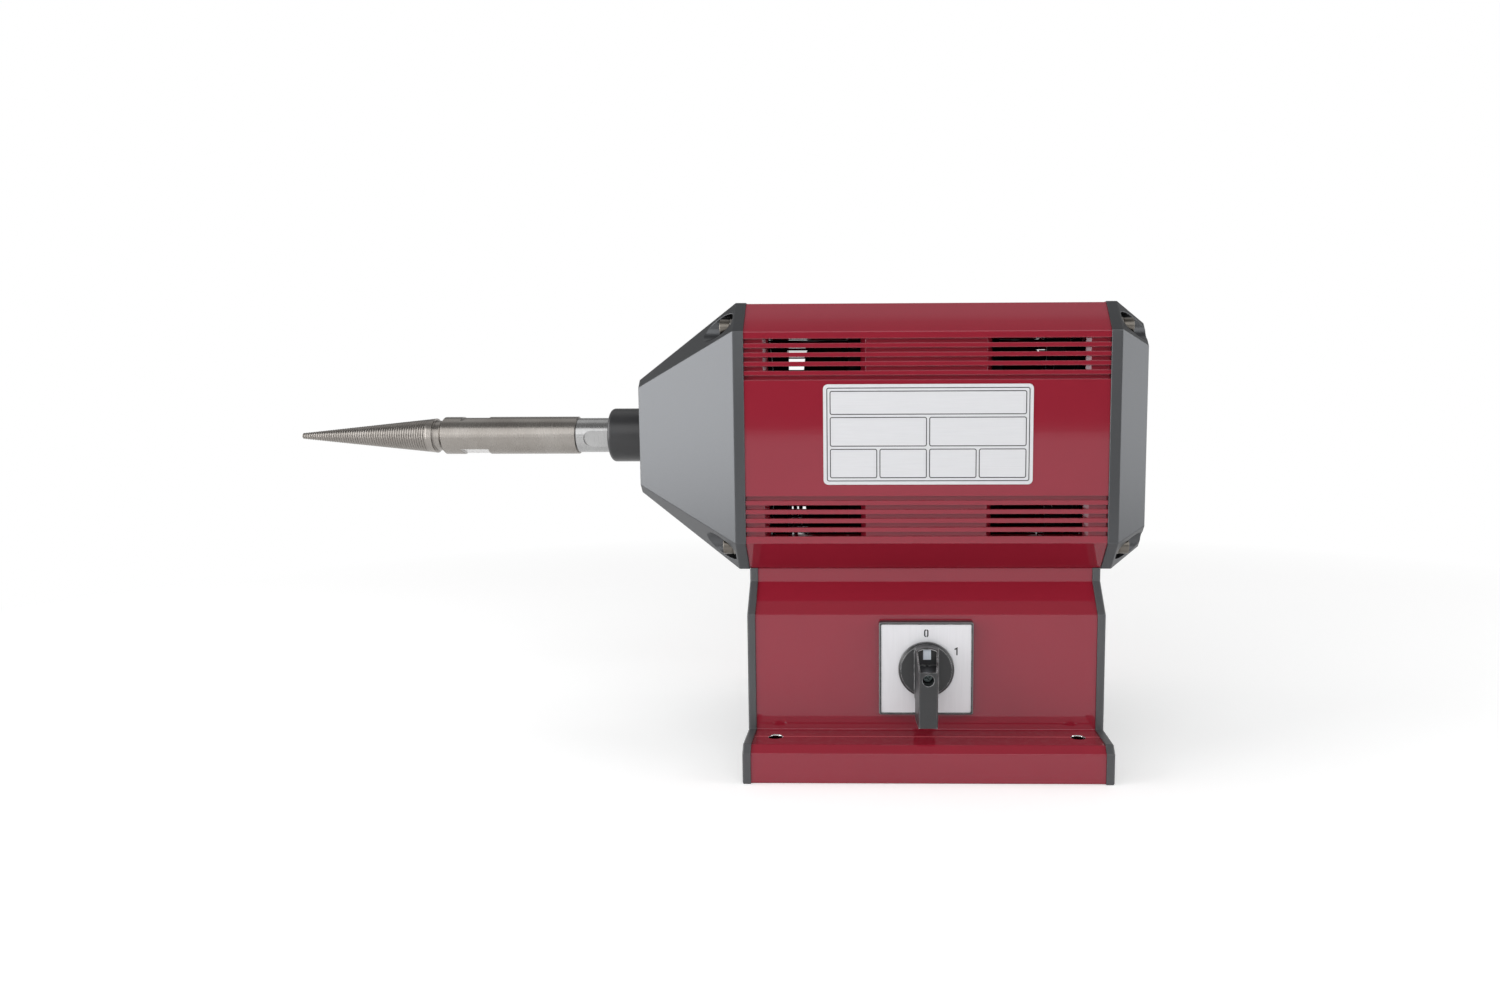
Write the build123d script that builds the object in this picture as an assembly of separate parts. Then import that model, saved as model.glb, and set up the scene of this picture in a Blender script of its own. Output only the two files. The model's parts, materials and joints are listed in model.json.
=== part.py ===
from build123d import *
import math
import os

# Bench polishing machine: an octagonal motor on a hollow base, with one long taper spindle.
# X runs along the motor shaft with the spindle towards -X, -Y is the front and Z is up.
# The origin lies on the bench, under the middle of the base. Lengths are in millimetres.

# Clearances and cuts
overrun = 1.0
seat_gap = 0.05
running_gap = 0.05
moving_gap = 0.4
panel_gap = 0.3
edge_round = 0.8

# Motor housing, an octagonal extrusion with slotted bands on its front and back
housing_width = 136.4
housing_chamfer = 15.0
housing_length = 183.1
housing_wall = 5.0
pad_height = 3.2
pad_width = 28.0
groove_count = 5
groove_first = 30.35
groove_pitch = 4.55
groove_width = 2.3
groove_depth = 2.2
window_end_margin = 12.0
window_length = 46.5
window_runout = 2.6

# Rating plate on the front face
plate_length = 105.1
plate_height = 50.3
plate_thickness = 0.4
plate_corner = 2.4
plate_shift_x = 0.75
plate_shift_z = 1.85

# End caps
flange_thickness = 5.3
flange_proud = 0.5
cap_wall = 4.5
spigot_length = 4.0
spigot_wall = 4.0
spigot_cut_share = 0.5
drive_cone_length = 56.45
nose_width = 60.8
nose_chamfer = 4.3
nose_wall = 6.0
rear_cone_length = 15.75
rear_end_width = 115.8
rear_end_chamfer = 12.1
rear_end_wall = 3.6
bearing_boss_wall = 4.5
rib_thickness = 4.0

# Cap screws, four at each end, with spring washers
cap_screw_inset = 12.2
cap_screw_radius = 2.5
cap_screw_hole_gap = 0.25
cap_screw_reach = 14.0
cap_screw_head_radius = 4.25
cap_screw_head_height = 5.0
cap_screw_socket = 4.0
cap_screw_socket_depth = 2.5
cap_washer_thickness = 1.8
cap_washer_radius = 4.6
cap_pocket_gap = 2.7
cap_pocket_floor = 0.8
cap_boss_wall = 2.5

# Stator and rotor
stack_length = 80.0
back_iron_share = 0.2
slot_count = 24
slot_width = 4.6
slot_depth_share = 0.25
slot_tip = 2.0
slot_mouth = 1.8
slot_liner = 0.2
winding_overhang = 24.0
winding_rise = 2.0
winding_round = 5.0
air_gap = 0.4
end_ring_length = 9.0
end_ring_room_share = 0.255

# Shaft
rotor_seat_radius = 12.5
drive_journal_radius = 10.0
rear_journal_radius = 8.5
shaft_show_radius = 9.7
shaft_show_length = 18.8
stub_radius = 7.0
stub_length = 40.0
stub_end_room = 1.0
shaft_flat_length = 15.0
shaft_flat_depth = 1.15
shaft_flat_width = 9.2
shaft_flat_turn = 12.0

# Ball bearings
drive_bearing_section = 13.5
drive_bearing_width = 14.0
rear_bearing_section = 11.5
rear_bearing_width = 12.0
ball_count = 8
ball_share = 0.3
race_share = 0.15
ball_gap = 0.03
cage_thickness = 1.4
cage_rim = 1.2
circlip_thickness = 1.75
circlip_depth = 1.4
circlip_reach = 2.4
wave_washer_thickness = 1.2

# Cooling fan
fan_width = 13.0
fan_tip_room = 11.2
fan_disc_thickness = 2.5
fan_hub_wall = 4.5
fan_blade_count = 11
fan_blade_thickness = 2.2
fan_clip_thickness = 1.2
fan_clip_depth = 0.8
fan_clip_reach = 2.4

# Shaft collar and felt seal
collar_length = 22.0
collar_radius = 15.05
collar_round = 2.4
collar_spigot_radius = 13.0
collar_bore_gap = 0.6
seal_width = 5.0
seal_thickness = 2.6
seal_setback = 4.0

# Taper spindle
sleeve_radius = 10.55
sleeve_length = 77.8
sleeve_edge = 1.7
sleeve_flat_start = 11.7
sleeve_flat_length = 15.6
sleeve_flat_depth = 1.4
sleeve_flat_turn = -14.0
neck_radius = 8.5
neck_length = 4.0
taper_length = 78.0
taper_large_radius = 9.75
taper_tip_radius = 1.65
taper_tip_round = 1.0
thread_pitch = 1.41
thread_depth = 0.4

# Base, a hat section extrusion closed by two end plates and a bottom cover
base_height = 101.0
base_length = 174.8
base_wall = 3.2
neck_height = 7.0
foot_half_depth = 95.6
foot_face_height = 15.1
foot_chamfer = 3.6
drill_line_depth = 0.6
drill_line_turn = 45
end_plate_thickness = 4.1
end_plate_proud = 0.7
end_plate_round = 1.2
port_radius = 4.5
port_inset = 3.0
base_screw_radius = 2.0
base_screw_length = 12.0
base_screw_head_radius = 3.9
lip_width = 8.5
lip_thickness = 3.0
cover_thickness = 2.0
cover_screw_spacing = 120.0
cover_screw_land_share = 0.2

# Bench bolt holes
bench_spacing_x = 153.0
bench_hole_inset = 16.3
bench_hole_radius = 3.5
bench_hole_edge = 0.5

# Motor bolts and nuts between base and housing
motor_bolt_spacing_x = 110.0
motor_bolt_spacing_y = 60.0
motor_bolt_radius = 3.0
motor_bolt_hole_gap = 0.3
motor_bolt_head_radius = 5.0
motor_bolt_head_height = 6.0
motor_bolt_tail = 1.0
motor_nut_width = 10.0
motor_nut_height = 5.0

# Lead grommet, leads and terminal block
grommet_setback = 9.5
grommet_side = 26.0
grommet_bore = 5.5
grommet_wall = 2.0
grommet_flange = 2.0
grommet_flange_height = 1.5
lead_count = 3
lead_radius = 1.2
lead_pitch = 3.2
lead_bend = 4.0
lead_start_share = 0.7
terminal_length = 22.0
terminal_depth = 18.0
terminal_height = 16.0
terminal_below_slope = 20.0

# Run capacitor with its clamp
capacitor_radius = 20.0
capacitor_length = 78.0
capacitor_x = 29.0
capacitor_y = 28.0
capacitor_round = 2.0
capacitor_tab_length = 7.0
capacitor_tab_width = 6.3
capacitor_tab_thickness = 0.8
capacitor_tab_spacing = 14.0
clamp_width = 14.0
clamp_thickness = 1.5
clamp_foot_reach = 9.0
rivet_radius = 2.0
rivet_head_radius = 3.5
rivet_head_height = 1.4

# Cable gland in the back panel
gland_x = 58.0
gland_below_slope = 21.0
gland_thread_radius = 8.0
gland_bore_radius = 6.0
gland_inner_length = 8.0
gland_hex = 22.0
gland_hex_thickness = 5.0
gland_thread_length = 11.0
gland_nut_thickness = 4.0
gland_cap_radius = 10.4
gland_cap_lip = 3.0
gland_cap_round = 1.5
gland_cable_radius = 4.0
gland_seal_length = 9.0

# Switch
switch_place_share = 0.5232
bezel_width = 48.0
bezel_thickness = 5.0
bezel_corner = 1.2
bezel_edge = 0.6
legend_width = 45.7
legend_thickness = 0.6
legend_setback = 0.3
legend_corner = 0.8
switch_body_width = 34.0
switch_body_depth = 30.0
switch_wall = 4.0
switch_cover_thickness = 3.0
switch_shaft_radius = 4.0
switch_shaft_tip = 16.0
cam_wall_room = 3.6
switch_screw_radius = 1.5
switch_screw_head_radius = 2.8
switch_screw_head_height = 1.7
switch_screw_reach = 14.0
switch_screw_spread = 27.4
contact_screw_radius = 3.0
contact_screw_height = 2.4
contact_spacing = 14.0

# Knob: a disc with a low pointer bar above the axis and a tall lever below it
knob_radius = 14.15
knob_skirt = 1.2
knob_disc_front = 8.0
pointer_front = 14.0
pointer_reach = 13.2
knob_bar_width = 12.1
lever_width = 9.2
lever_front = 28.0
lever_top = 4.0
lever_reach = 24.2
lever_underside = 11.0
pointer_rim = 0.7
pointer_recess = 0.8
index_width = 3.9
index_length = 5.5
index_thickness = 0.4
index_from_axis = 6.9
knob_screw_bore = 2.8
knob_screw_depth = 7.0
knob_screw_head_radius = 2.6
knob_screw_head_height = 2.4
knob_screw_radius = 1.5
knob_screw_reach = 6.0
knob_round = 0.7

# Places along the shaft, worked out from the sizes above
housing_half = housing_width / 2
axis_height = base_height + housing_half
housing_end = housing_length / 2
inner_half = housing_half - housing_wall
stator_radius = inner_half - pad_height
slot_depth = stator_radius * slot_depth_share
back_iron = stator_radius * back_iron_share
stator_bore_radius = stator_radius - back_iron - slot_depth - slot_tip
winding_thickness = slot_depth + winding_rise
fan_radius = inner_half - fan_tip_room
cap_screw_place = housing_half - cap_screw_inset
flange_end = housing_end + flange_thickness
nose_x = -(flange_end + drive_cone_length)
rear_x = flange_end + rear_cone_length
drive_bearing_start = nose_x + nose_wall
drive_bearing_end = drive_bearing_start + drive_bearing_width
rear_bearing_end = rear_x - rear_end_wall - wave_washer_thickness
rear_bearing_start = rear_bearing_end - rear_bearing_width
drive_seat_radius = drive_journal_radius + drive_bearing_section
rear_seat_radius = rear_journal_radius + rear_bearing_section
collar_x = nose_x - collar_length
sleeve_x = collar_x - shaft_show_length
neck_x = sleeve_x - sleeve_length
taper_x = neck_x - neck_length
tip_x = taper_x - taper_length
winding_end = stack_length / 2 + winding_overhang
spigot_end = housing_end - spigot_length
fan_middle = (winding_end + spigot_end) / 2
fan_start = fan_middle - fan_width / 2
fan_end = fan_middle + fan_width / 2

# Places on the base, worked out from the sizes above
panel_half = housing_half
neck_half = housing_half - housing_chamfer
slope_top = base_height - neck_height
slope_bottom = slope_top - (panel_half - neck_half)
ledge_height = foot_face_height + foot_chamfer
ledge_half = foot_half_depth - foot_chamfer
base_end = base_length / 2
bench_spacing_y = 2 * (foot_half_depth - bench_hole_inset)
panel_inner = panel_half - base_wall
foot_inner = foot_half_depth - base_wall
upper_port = (panel_inner - port_inset, slope_bottom - port_inset)
lower_port = (panel_half + port_inset, ledge_height - base_wall - port_inset)
cover_screw_y = foot_inner - lip_width / 2
grommet_x = -(winding_end + grommet_setback)
terminal_z = slope_bottom - terminal_below_slope
gland_z = slope_bottom - gland_below_slope
switch_low = ledge_height + lever_reach
switch_high = slope_bottom - base_wall * (math.sqrt(2) - 1) - switch_body_width / 2
switch_height = switch_low + switch_place_share * (switch_high - switch_low)
capacitor_z = cover_thickness + clamp_thickness + capacitor_radius
clamp_foot_half = capacitor_radius + clamp_thickness + clamp_foot_reach
gland_face = panel_half + gland_hex_thickness
gland_tip = gland_face + gland_thread_length
gland_cap_end = gland_tip + gland_cap_lip
bezel_front = -panel_half - bezel_thickness
legend_front = bezel_front + legend_setback
legend_back = legend_front + legend_thickness
knob_draft_share = (knob_bar_width - lever_width) / 2 / (lever_front - knob_disc_front)
switch_back = -panel_inner + switch_body_depth
cam_start = -panel_inner + switch_wall
cam_radius = switch_body_width / 2 - cam_wall_room
corner_signs = [(y, z) for y in (-1, 1) for z in (-1, 1)]


def axis_plane(x, y=0, z=axis_height):
    """A sketch plane square to the shaft, with its own x along +Y and its own y along +Z."""
    return Plane(origin=(x, y, z), x_dir=(0, 1, 0), z_dir=(1, 0, 0))


def prism(sketch, x_from, x_to, y=0, z=axis_height):
    """The sketch drawn out along X between two places."""
    low, high = sorted((x_from, x_to))
    return extrude(axis_plane(low, y, z) * sketch, high - low)


def rod(x_from, x_to, radius, y=0, z=axis_height):
    """A round bar along X."""
    return prism(Circle(radius), x_from, x_to, y, z)


def tube(x_from, x_to, outer, inner):
    """A round tube along the shaft axis."""
    return prism(Circle(outer) - Circle(inner), x_from, x_to)


def post(sketch, x, y, z_from, z_to):
    """The sketch drawn out along Z between two heights."""
    low, high = sorted((z_from, z_to))
    return extrude(Plane.XY.offset(low) * Pos(x, y) * sketch, high - low)


def forward(sketch, x, z, y_from, y_to):
    """The sketch drawn out along Y, with its own x along +X and its own y along +Z."""
    low, high = sorted((y_from, y_to))
    plane = Plane(origin=(x, high, z), x_dir=(1, 0, 0), z_dir=(0, -1, 0))
    return extrude(plane * sketch, high - low)


def block(x_range, y_range, z_range):
    """A box between two places along each axis."""
    ranges = (x_range, y_range, z_range)
    size = [high - low for low, high in ranges]
    middle = [(low + high) / 2 for low, high in ranges]
    return Pos(*middle) * Box(*size)


def turned(points):
    """A solid turned about the shaft axis from (x, radius) points."""
    outline = Polyline(*[(x, 0, axis_height + radius) for x, radius in points], close=True)
    return revolve(make_face(outline), Axis((0, 0, axis_height), (1, 0, 0)))


def torus_on_axis(x, ring_radius, section_radius):
    """A torus about the shaft axis."""
    plane = Plane(origin=(x, 0, axis_height + ring_radius), x_dir=(1, 0, 0), z_dir=(0, -1, 0))
    return revolve(plane * Circle(section_radius), Axis((0, 0, axis_height), (1, 0, 0)))


def octagon_points(half, chamfer):
    """Corners of a square with its corners cut at 45 degrees, in order round the outline."""
    flat = half - chamfer
    points = [(half, flat), (flat, half), (-flat, half), (-half, flat)]
    return points + [(-y, -z) for y, z in points]


def octagon(half, chamfer):
    """The octagon as a sketch, with its corners slightly rounded."""
    outline = Polygon(*octagon_points(half, chamfer), align=None)
    return fillet(outline.vertices(), edge_round)


def inset_chamfer(chamfer, wall):
    """The corner cut of an octagon set in by an even wall."""
    return chamfer - wall * (2 - math.sqrt(2))


def octagon_cone(sections):
    """A solid with flat sides through octagons given as (x, half width, corner cut)."""
    rings = [[(x, y, axis_height + z) for y, z in octagon_points(half, cut)] for x, half, cut in sections]
    outlines = [rings[0], rings[-1]]
    count = len(rings[0])
    for near, far in zip(rings, rings[1:]):
        for corner in range(count):
            after = (corner + 1) % count
            outlines.append([near[corner], near[after], far[after], far[corner]])
    faces = [make_face(Polyline(*outline, close=True)).face() for outline in outlines]
    return Part() + Solid(Shell(faces))


def group(solids):
    """Separate solids kept together in one node."""
    return Compound(children=list(solids))


def groove_heights(first_groove):
    """Distances from the axis of the grooves, both ways, from the given groove outwards."""
    steps = range(first_groove, groove_count)
    heights = [groove_first + step * groove_pitch for step in steps]
    return heights + [-height for height in heights]


# Motor housing

def motor_housing():
    outer = octagon(housing_half, housing_chamfer)
    hollow = octagon(inner_half, inset_chamfer(housing_chamfer, housing_wall))
    reach = inner_half + housing_half
    pads = Rectangle(pad_width, reach) + Rectangle(reach, pad_width) - Circle(stator_radius + seat_gap)
    profile = outer - hollow + pads
    boss = Circle(cap_screw_radius + housing_wall)
    for y, z in corner_signs:
        profile += Pos(y * cap_screw_place, z * cap_screw_place) * boss & outer
    for height in groove_heights(0):
        profile -= Pos(0, height) * Rectangle(housing_width, groove_width) - Rectangle(
            housing_width - 2 * groove_depth, housing_width)
    shell = prism(profile, -housing_end, housing_end)
    slots = []
    window_middle = housing_end - window_end_margin - window_length / 2
    for height in groove_heights(1):
        low = axis_height + height - groove_width / 2
        for side in (-1, 1):
            slots.append(post(window_outline(), side * window_middle, 0, low, low + groove_width))
    shell -= slots
    hole_end = housing_end - cap_screw_reach - overrun
    hole_radius = cap_screw_radius + seat_gap
    holes = []
    for y, z in corner_signs:
        place = (y * cap_screw_place, axis_height + z * cap_screw_place)
        for side in (-1, 1):
            holes.append(rod(side * hole_end, side * (housing_end + overrun), hole_radius, *place))
    shell -= holes
    return shell - motor_bolt_holes() - lead_hole()


def window_outline():
    """A window seen from above, through both walls, with its ends sloping out to the groove floors."""
    half = window_length / 2
    wide = half + window_runout
    floor = housing_half - groove_depth
    corner = [(half, 0), (half, inner_half), (wide, floor), (wide, housing_half)]
    right = [(x, -y) for x, y in reversed(corner)] + corner[1:]
    return Polygon(*right, *[(-x, -y) for x, y in right], align=None)


def motor_bolt_places():
    """Centres of the four bolts that hold the housing on the base."""
    return [(x * motor_bolt_spacing_x / 2, y * motor_bolt_spacing_y / 2) for x, y in corner_signs]


def motor_bolt_holes():
    low = base_height - base_wall - overrun
    high = base_height + housing_wall + overrun
    hole = Circle(motor_bolt_radius + motor_bolt_hole_gap)
    return [post(hole, x, y, low, high) for x, y in motor_bolt_places()]


def lead_hole():
    low = base_height - base_wall - overrun
    high = base_height + housing_wall + overrun
    radius = grommet_bore + grommet_wall + seat_gap
    return post(Circle(radius), grommet_x, grommet_side, low, high)


def rating_plate():
    outline = RectangleRounded(plate_length, plate_height, plate_corner)
    height = axis_height + plate_shift_z
    return forward(outline, plate_shift_x, height, -housing_half, -housing_half - plate_thickness)


# End caps

def cap_outside(side, cone_length, end_width, end_chamfer):
    """The flange and tapered outside of a cap; side is -1 at the drive end and 1 at the rear."""
    half = housing_half + flange_proud
    cut = housing_chamfer + flange_proud * (2 - math.sqrt(2))
    end = side * (flange_end + cone_length)
    outside = octagon_cone([
        (side * housing_end, half, cut),
        (side * flange_end, half, cut),
        (end, end_width / 2, end_chamfer),
    ])
    face_edges = outside.edges().filter_by_position(Axis.X, side * housing_end, side * housing_end)
    return fillet(outside.edges() - face_edges, edge_round)


def cap_hollow(side, cone_length, end_width, end_chamfer, end_wall):
    """The tapered inside of a cap, from the spigot's mouth to the end wall."""
    half = stator_radius - spigot_wall
    cut = half * spigot_cut_share
    end = side * (flange_end + cone_length - end_wall)
    end_half = end_width / 2 - cap_wall
    return octagon_cone([
        (side * (spigot_end - overrun), half, cut),
        (side * flange_end, half, cut),
        (end, end_half, inset_chamfer(end_chamfer, cap_wall)),
    ])


def cap_screw_cuts(side, cone_length):
    """Head pockets and shank holes of the four cap screws."""
    floor = side * (flange_end + cap_pocket_floor)
    end = side * (flange_end + cone_length + overrun)
    start = side * (housing_end - overrun)
    cuts = []
    for y, z in corner_signs:
        place = (y * cap_screw_place, axis_height + z * cap_screw_place)
        cuts.append(rod(floor, end, cap_screw_head_radius + cap_pocket_gap, *place))
        cuts.append(rod(start, floor, cap_screw_radius + cap_screw_hole_gap, *place))
    return cuts


def end_cap(side, cone_length, end_width, end_chamfer, end_wall, seat_radius, seat_length):
    """A hollow cap with a spigot, four screw bosses, a ribbed bearing boss and a bearing seat."""
    outside = cap_outside(side, cone_length, end_width, end_chamfer)
    hollow = cap_hollow(side, cone_length, end_width, end_chamfer, end_wall)
    face = side * housing_end
    end = side * (flange_end + cone_length)
    wall_face = end - side * end_wall
    seat_mouth = wall_face - side * seat_length
    boss_radius = seat_radius + bearing_boss_wall
    solids = rod(end, seat_mouth, boss_radius)
    screw_boss = cap_screw_head_radius + cap_pocket_gap + cap_boss_wall
    for y, z in corner_signs:
        place = (y * cap_screw_place, axis_height + z * cap_screw_place)
        solids += rod(face, end, screw_boss, *place)
    low, high = sorted((wall_face, seat_mouth))
    reach = (-housing_half, housing_half)
    web = (-rib_thickness / 2, rib_thickness / 2)
    solids += Pos(0, 0, axis_height) * block((low, high), reach, web)
    solids += Pos(0, 0, axis_height) * block((low, high), web, reach)
    cap = outside - hollow + (solids & outside)
    spigot = stator_radius - seat_gap
    cap += tube(face - side * spigot_length, face + side * flange_thickness, spigot, spigot - spigot_wall)
    cap -= cap_screw_cuts(side, cone_length)
    return cap - rod(wall_face, seat_mouth - side * overrun, seat_radius + seat_gap)


def drive_end_cap():
    groove_room = circlip_thickness + moving_gap
    seat_length = drive_bearing_width + 2 * groove_room
    cap = end_cap(-1, drive_cone_length, nose_width, nose_chamfer, nose_wall,
                  drive_seat_radius, seat_length)
    cap -= rod(nose_x - overrun, nose_x + nose_wall + overrun, collar_spigot_radius + seat_gap)
    groove_end = drive_bearing_end + circlip_thickness + seat_gap
    return cap - rod(drive_bearing_end, groove_end, drive_seat_radius + circlip_depth + seat_gap)


def rear_end_cap():
    seat_length = rear_bearing_width + wave_washer_thickness
    return end_cap(1, rear_cone_length, rear_end_width, rear_end_chamfer, rear_end_wall,
                   rear_seat_radius, seat_length)


def cap_screws(side):
    """Four socket head screws along X, seated on their washers."""
    floor = side * (flange_end + cap_pocket_floor + cap_washer_thickness)
    top = floor + side * cap_screw_head_height
    tip = side * (housing_end - cap_screw_reach)
    screws = []
    for y, z in corner_signs:
        place = (y * cap_screw_place, axis_height + z * cap_screw_place)
        screw = rod(floor, top, cap_screw_head_radius, *place) + rod(tip, floor, cap_screw_radius, *place)
        socket = RegularPolygon(cap_screw_socket / 2, 6, major_radius=False)
        screw -= prism(socket, top - side * cap_screw_socket_depth, top + side * overrun, *place)
        screws.append(screw)
    return group(screws)


def cap_washers(side):
    """Four spring washers under the cap screw heads."""
    floor = side * (flange_end + cap_pocket_floor)
    washers = []
    for y, z in corner_signs:
        ring = Circle(cap_washer_radius) - Circle(cap_screw_radius + seat_gap)
        place = (y * cap_screw_place, axis_height + z * cap_screw_place)
        washers.append(prism(ring, floor, floor + side * cap_washer_thickness, *place))
    return group(washers)


# Stator and rotor

def slot_sketch(shrink):
    """All winding slots, each drawn in by shrink on every side."""
    start = stator_bore_radius + slot_tip
    middle = start + slot_depth / 2
    cell = Rectangle(slot_depth - 2 * shrink, slot_width - 2 * shrink)
    return Sketch() + PolarLocations(middle, slot_count) * cell


def stator_core():
    mouth_start = stator_bore_radius - overrun
    mouth_length = overrun + slot_tip + slot_depth / 2
    mouth = Rectangle(mouth_length, slot_mouth)
    mouths = PolarLocations(mouth_start + mouth_length / 2, slot_count) * mouth
    profile = Circle(stator_radius) - Circle(stator_bore_radius) - slot_sketch(0) - mouths
    return prism(profile, -stack_length / 2, stack_length / 2)


def stator_winding():
    inner = stator_bore_radius + slot_tip
    outer = inner + winding_thickness
    start = stack_length / 2
    turn = Rectangle(winding_overhang, winding_thickness)
    turn = fillet(turn.vertices(), winding_round)
    middle = axis_height + (inner + outer) / 2
    winding = prism(slot_sketch(slot_liner), -start, start)
    for side in (-1, 1):
        centre = (side * (start + winding_overhang / 2), 0, middle)
        plane = Plane(origin=centre, x_dir=(1, 0, 0), z_dir=(0, -1, 0))
        ring = revolve(plane * turn, Axis((0, 0, axis_height), (1, 0, 0)))
        neck_end = side * (start + winding_round)
        neck = tube(side * start, neck_end, outer - winding_round, inner + winding_round)
        winding += ring + neck
    return winding


def rotor_core():
    half = stack_length / 2
    return tube(-half, half, stator_bore_radius - air_gap, rotor_seat_radius + seat_gap)


def rotor_end_rings():
    outer = stator_bore_radius - air_gap - slot_tip
    inner = rotor_seat_radius + (outer - rotor_seat_radius) * end_ring_room_share
    start = stack_length / 2
    rings = [tube(side * start, side * (start + end_ring_length), outer, inner) for side in (-1, 1)]
    return group(rings)


def motor_shaft():
    points = [
        (sleeve_x - stub_length, 0),
        (sleeve_x - stub_length, stub_radius),
        (sleeve_x, stub_radius),
        (sleeve_x, shaft_show_radius),
        (drive_bearing_start, shaft_show_radius),
        (drive_bearing_start, drive_journal_radius),
        (drive_bearing_end, drive_journal_radius),
        (drive_bearing_end, rotor_seat_radius),
        (rear_bearing_start, rotor_seat_radius),
        (rear_bearing_start, rear_journal_radius),
        (rear_bearing_end, rear_journal_radius),
        (rear_bearing_end, 0),
    ]
    shaft = turned(points)
    flat_end = collar_x - panel_gap + overrun
    flat_start = flat_end - shaft_flat_length
    depth_range = (shaft_show_radius - shaft_flat_depth, shaft_show_radius + overrun)
    half_width = shaft_flat_width / 2
    for turn in (shaft_flat_turn, shaft_flat_turn + 180):
        cut = block((flat_start + half_width, flat_end), (-depth_range[1], -depth_range[0]),
                    (-half_width, half_width))
        cut += forward(Circle(half_width), flat_start + half_width, 0, -depth_range[1], -depth_range[0])
        shaft -= Pos(0, 0, axis_height) * Rot(turn, 0, 0) * cut
    groove = tube(fan_end, fan_end + fan_clip_thickness, rotor_seat_radius + overrun,
                  rotor_seat_radius - fan_clip_depth)
    return shaft - groove


# Ball bearings

def bearing(start, width, bore_radius, section):
    """The four pieces of a ball bearing: outer ring, inner ring, balls and cage."""
    middle = start + width / 2
    pitch_radius = bore_radius + section / 2
    ball_radius = section * ball_share
    track = torus_on_axis(middle, pitch_radius, ball_radius + ball_gap)
    shoulder = section * race_share
    outer = tube(start, start + width, bore_radius + section, pitch_radius + shoulder) - track
    inner = tube(start, start + width, pitch_radius - shoulder, bore_radius + seat_gap) - track
    half_cage = ball_radius + cage_rim
    cage = tube(middle - half_cage, middle + half_cage, pitch_radius + cage_thickness / 2,
                pitch_radius - cage_thickness / 2)
    balls = []
    pockets = []
    for step in range(ball_count):
        angle = 2 * math.pi * step / ball_count
        place = Pos(middle, pitch_radius * math.cos(angle), axis_height + pitch_radius * math.sin(angle))
        balls.append(place * Sphere(ball_radius))
        pockets.append(place * Sphere(ball_radius + ball_gap))
    return outer, inner, group(balls), cage - pockets


def bearing_circlip():
    outer = drive_seat_radius + circlip_depth
    return tube(drive_bearing_end, drive_bearing_end + circlip_thickness, outer,
                drive_seat_radius - circlip_reach)


def wave_washer():
    outer = rear_seat_radius
    inner = outer - rear_bearing_section * (1 - race_share) / 2
    return tube(rear_bearing_end, rear_bearing_end + wave_washer_thickness, outer, inner)


# Cooling fan

def cooling_fan():
    hub = rotor_seat_radius + fan_hub_wall
    disc_start = fan_end - fan_disc_thickness
    blade_length = fan_radius - hub
    blade = Rectangle(blade_length + fan_hub_wall, fan_blade_thickness)
    blade_middle = fan_radius - (blade_length + fan_hub_wall) / 2
    blades = Sketch() + PolarLocations(blade_middle, fan_blade_count) * blade
    fan = rod(fan_start, fan_end, hub) + rod(disc_start, fan_end, fan_radius)
    fan += prism(blades, fan_start, disc_start)
    return fan - rod(fan_start - overrun, fan_end + overrun, rotor_seat_radius + seat_gap)


def fan_clip():
    return tube(fan_end, fan_end + fan_clip_thickness, rotor_seat_radius + fan_clip_reach,
                rotor_seat_radius - fan_clip_depth + seat_gap)


# Shaft collar and seal

def shaft_collar():
    body = rod(collar_x, nose_x, collar_radius)
    front_edge = body.edges().filter_by(GeomType.CIRCLE).sort_by(Axis.X)[0]
    body = fillet(front_edge, collar_round)
    body += rod(nose_x, nose_x + nose_wall, collar_spigot_radius)
    body -= rod(collar_x - overrun, nose_x + nose_wall + overrun, shaft_show_radius + collar_bore_gap)
    seal_start = collar_x + seal_setback
    return body - rod(seal_start, seal_start + seal_width, shaft_show_radius + seal_thickness + seat_gap)


def shaft_seal():
    start = collar_x + seal_setback
    outer = shaft_show_radius + seal_thickness
    return tube(start, start + seal_width, outer, shaft_show_radius + running_gap)


# Taper spindle

def taper_radius(x):
    """Crest radius of the thread at a place along the taper."""
    share = (x - tip_x) / taper_length
    return taper_tip_radius + (taper_large_radius - taper_tip_radius) * share


def taper_spindle():
    points = [(tip_x, 0), (tip_x, taper_tip_radius - taper_tip_round / 2)]
    thread_start = tip_x + taper_tip_round
    turns = int((taper_length - taper_tip_round) / thread_pitch)
    for turn in range(turns):
        crest = thread_start + turn * thread_pitch
        root = crest + thread_pitch / 2
        points += [(crest, taper_radius(crest)), (root, taper_radius(root) - thread_depth)]
    points += [
        (taper_x, taper_large_radius),
        (taper_x, neck_radius),
        (neck_x, neck_radius),
        (neck_x, sleeve_radius - sleeve_edge),
        (neck_x + sleeve_edge, sleeve_radius),
        (sleeve_x, sleeve_radius),
        (sleeve_x, stub_radius + seat_gap),
        (sleeve_x - stub_length - stub_end_room, stub_radius + seat_gap),
        (sleeve_x - stub_length - stub_end_room, 0),
    ]
    spindle = turned(points)
    flat_x = (neck_x + sleeve_flat_start, neck_x + sleeve_flat_start + sleeve_flat_length)
    flat_z = (sleeve_radius - sleeve_flat_depth, sleeve_radius + overrun)
    cut = block(flat_x, (-sleeve_radius, sleeve_radius), flat_z)
    for turn in (sleeve_flat_turn, sleeve_flat_turn + 180):
        spindle -= Pos(0, 0, axis_height) * Rot(turn, 0, 0) * cut
    return spindle


# Base

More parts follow.
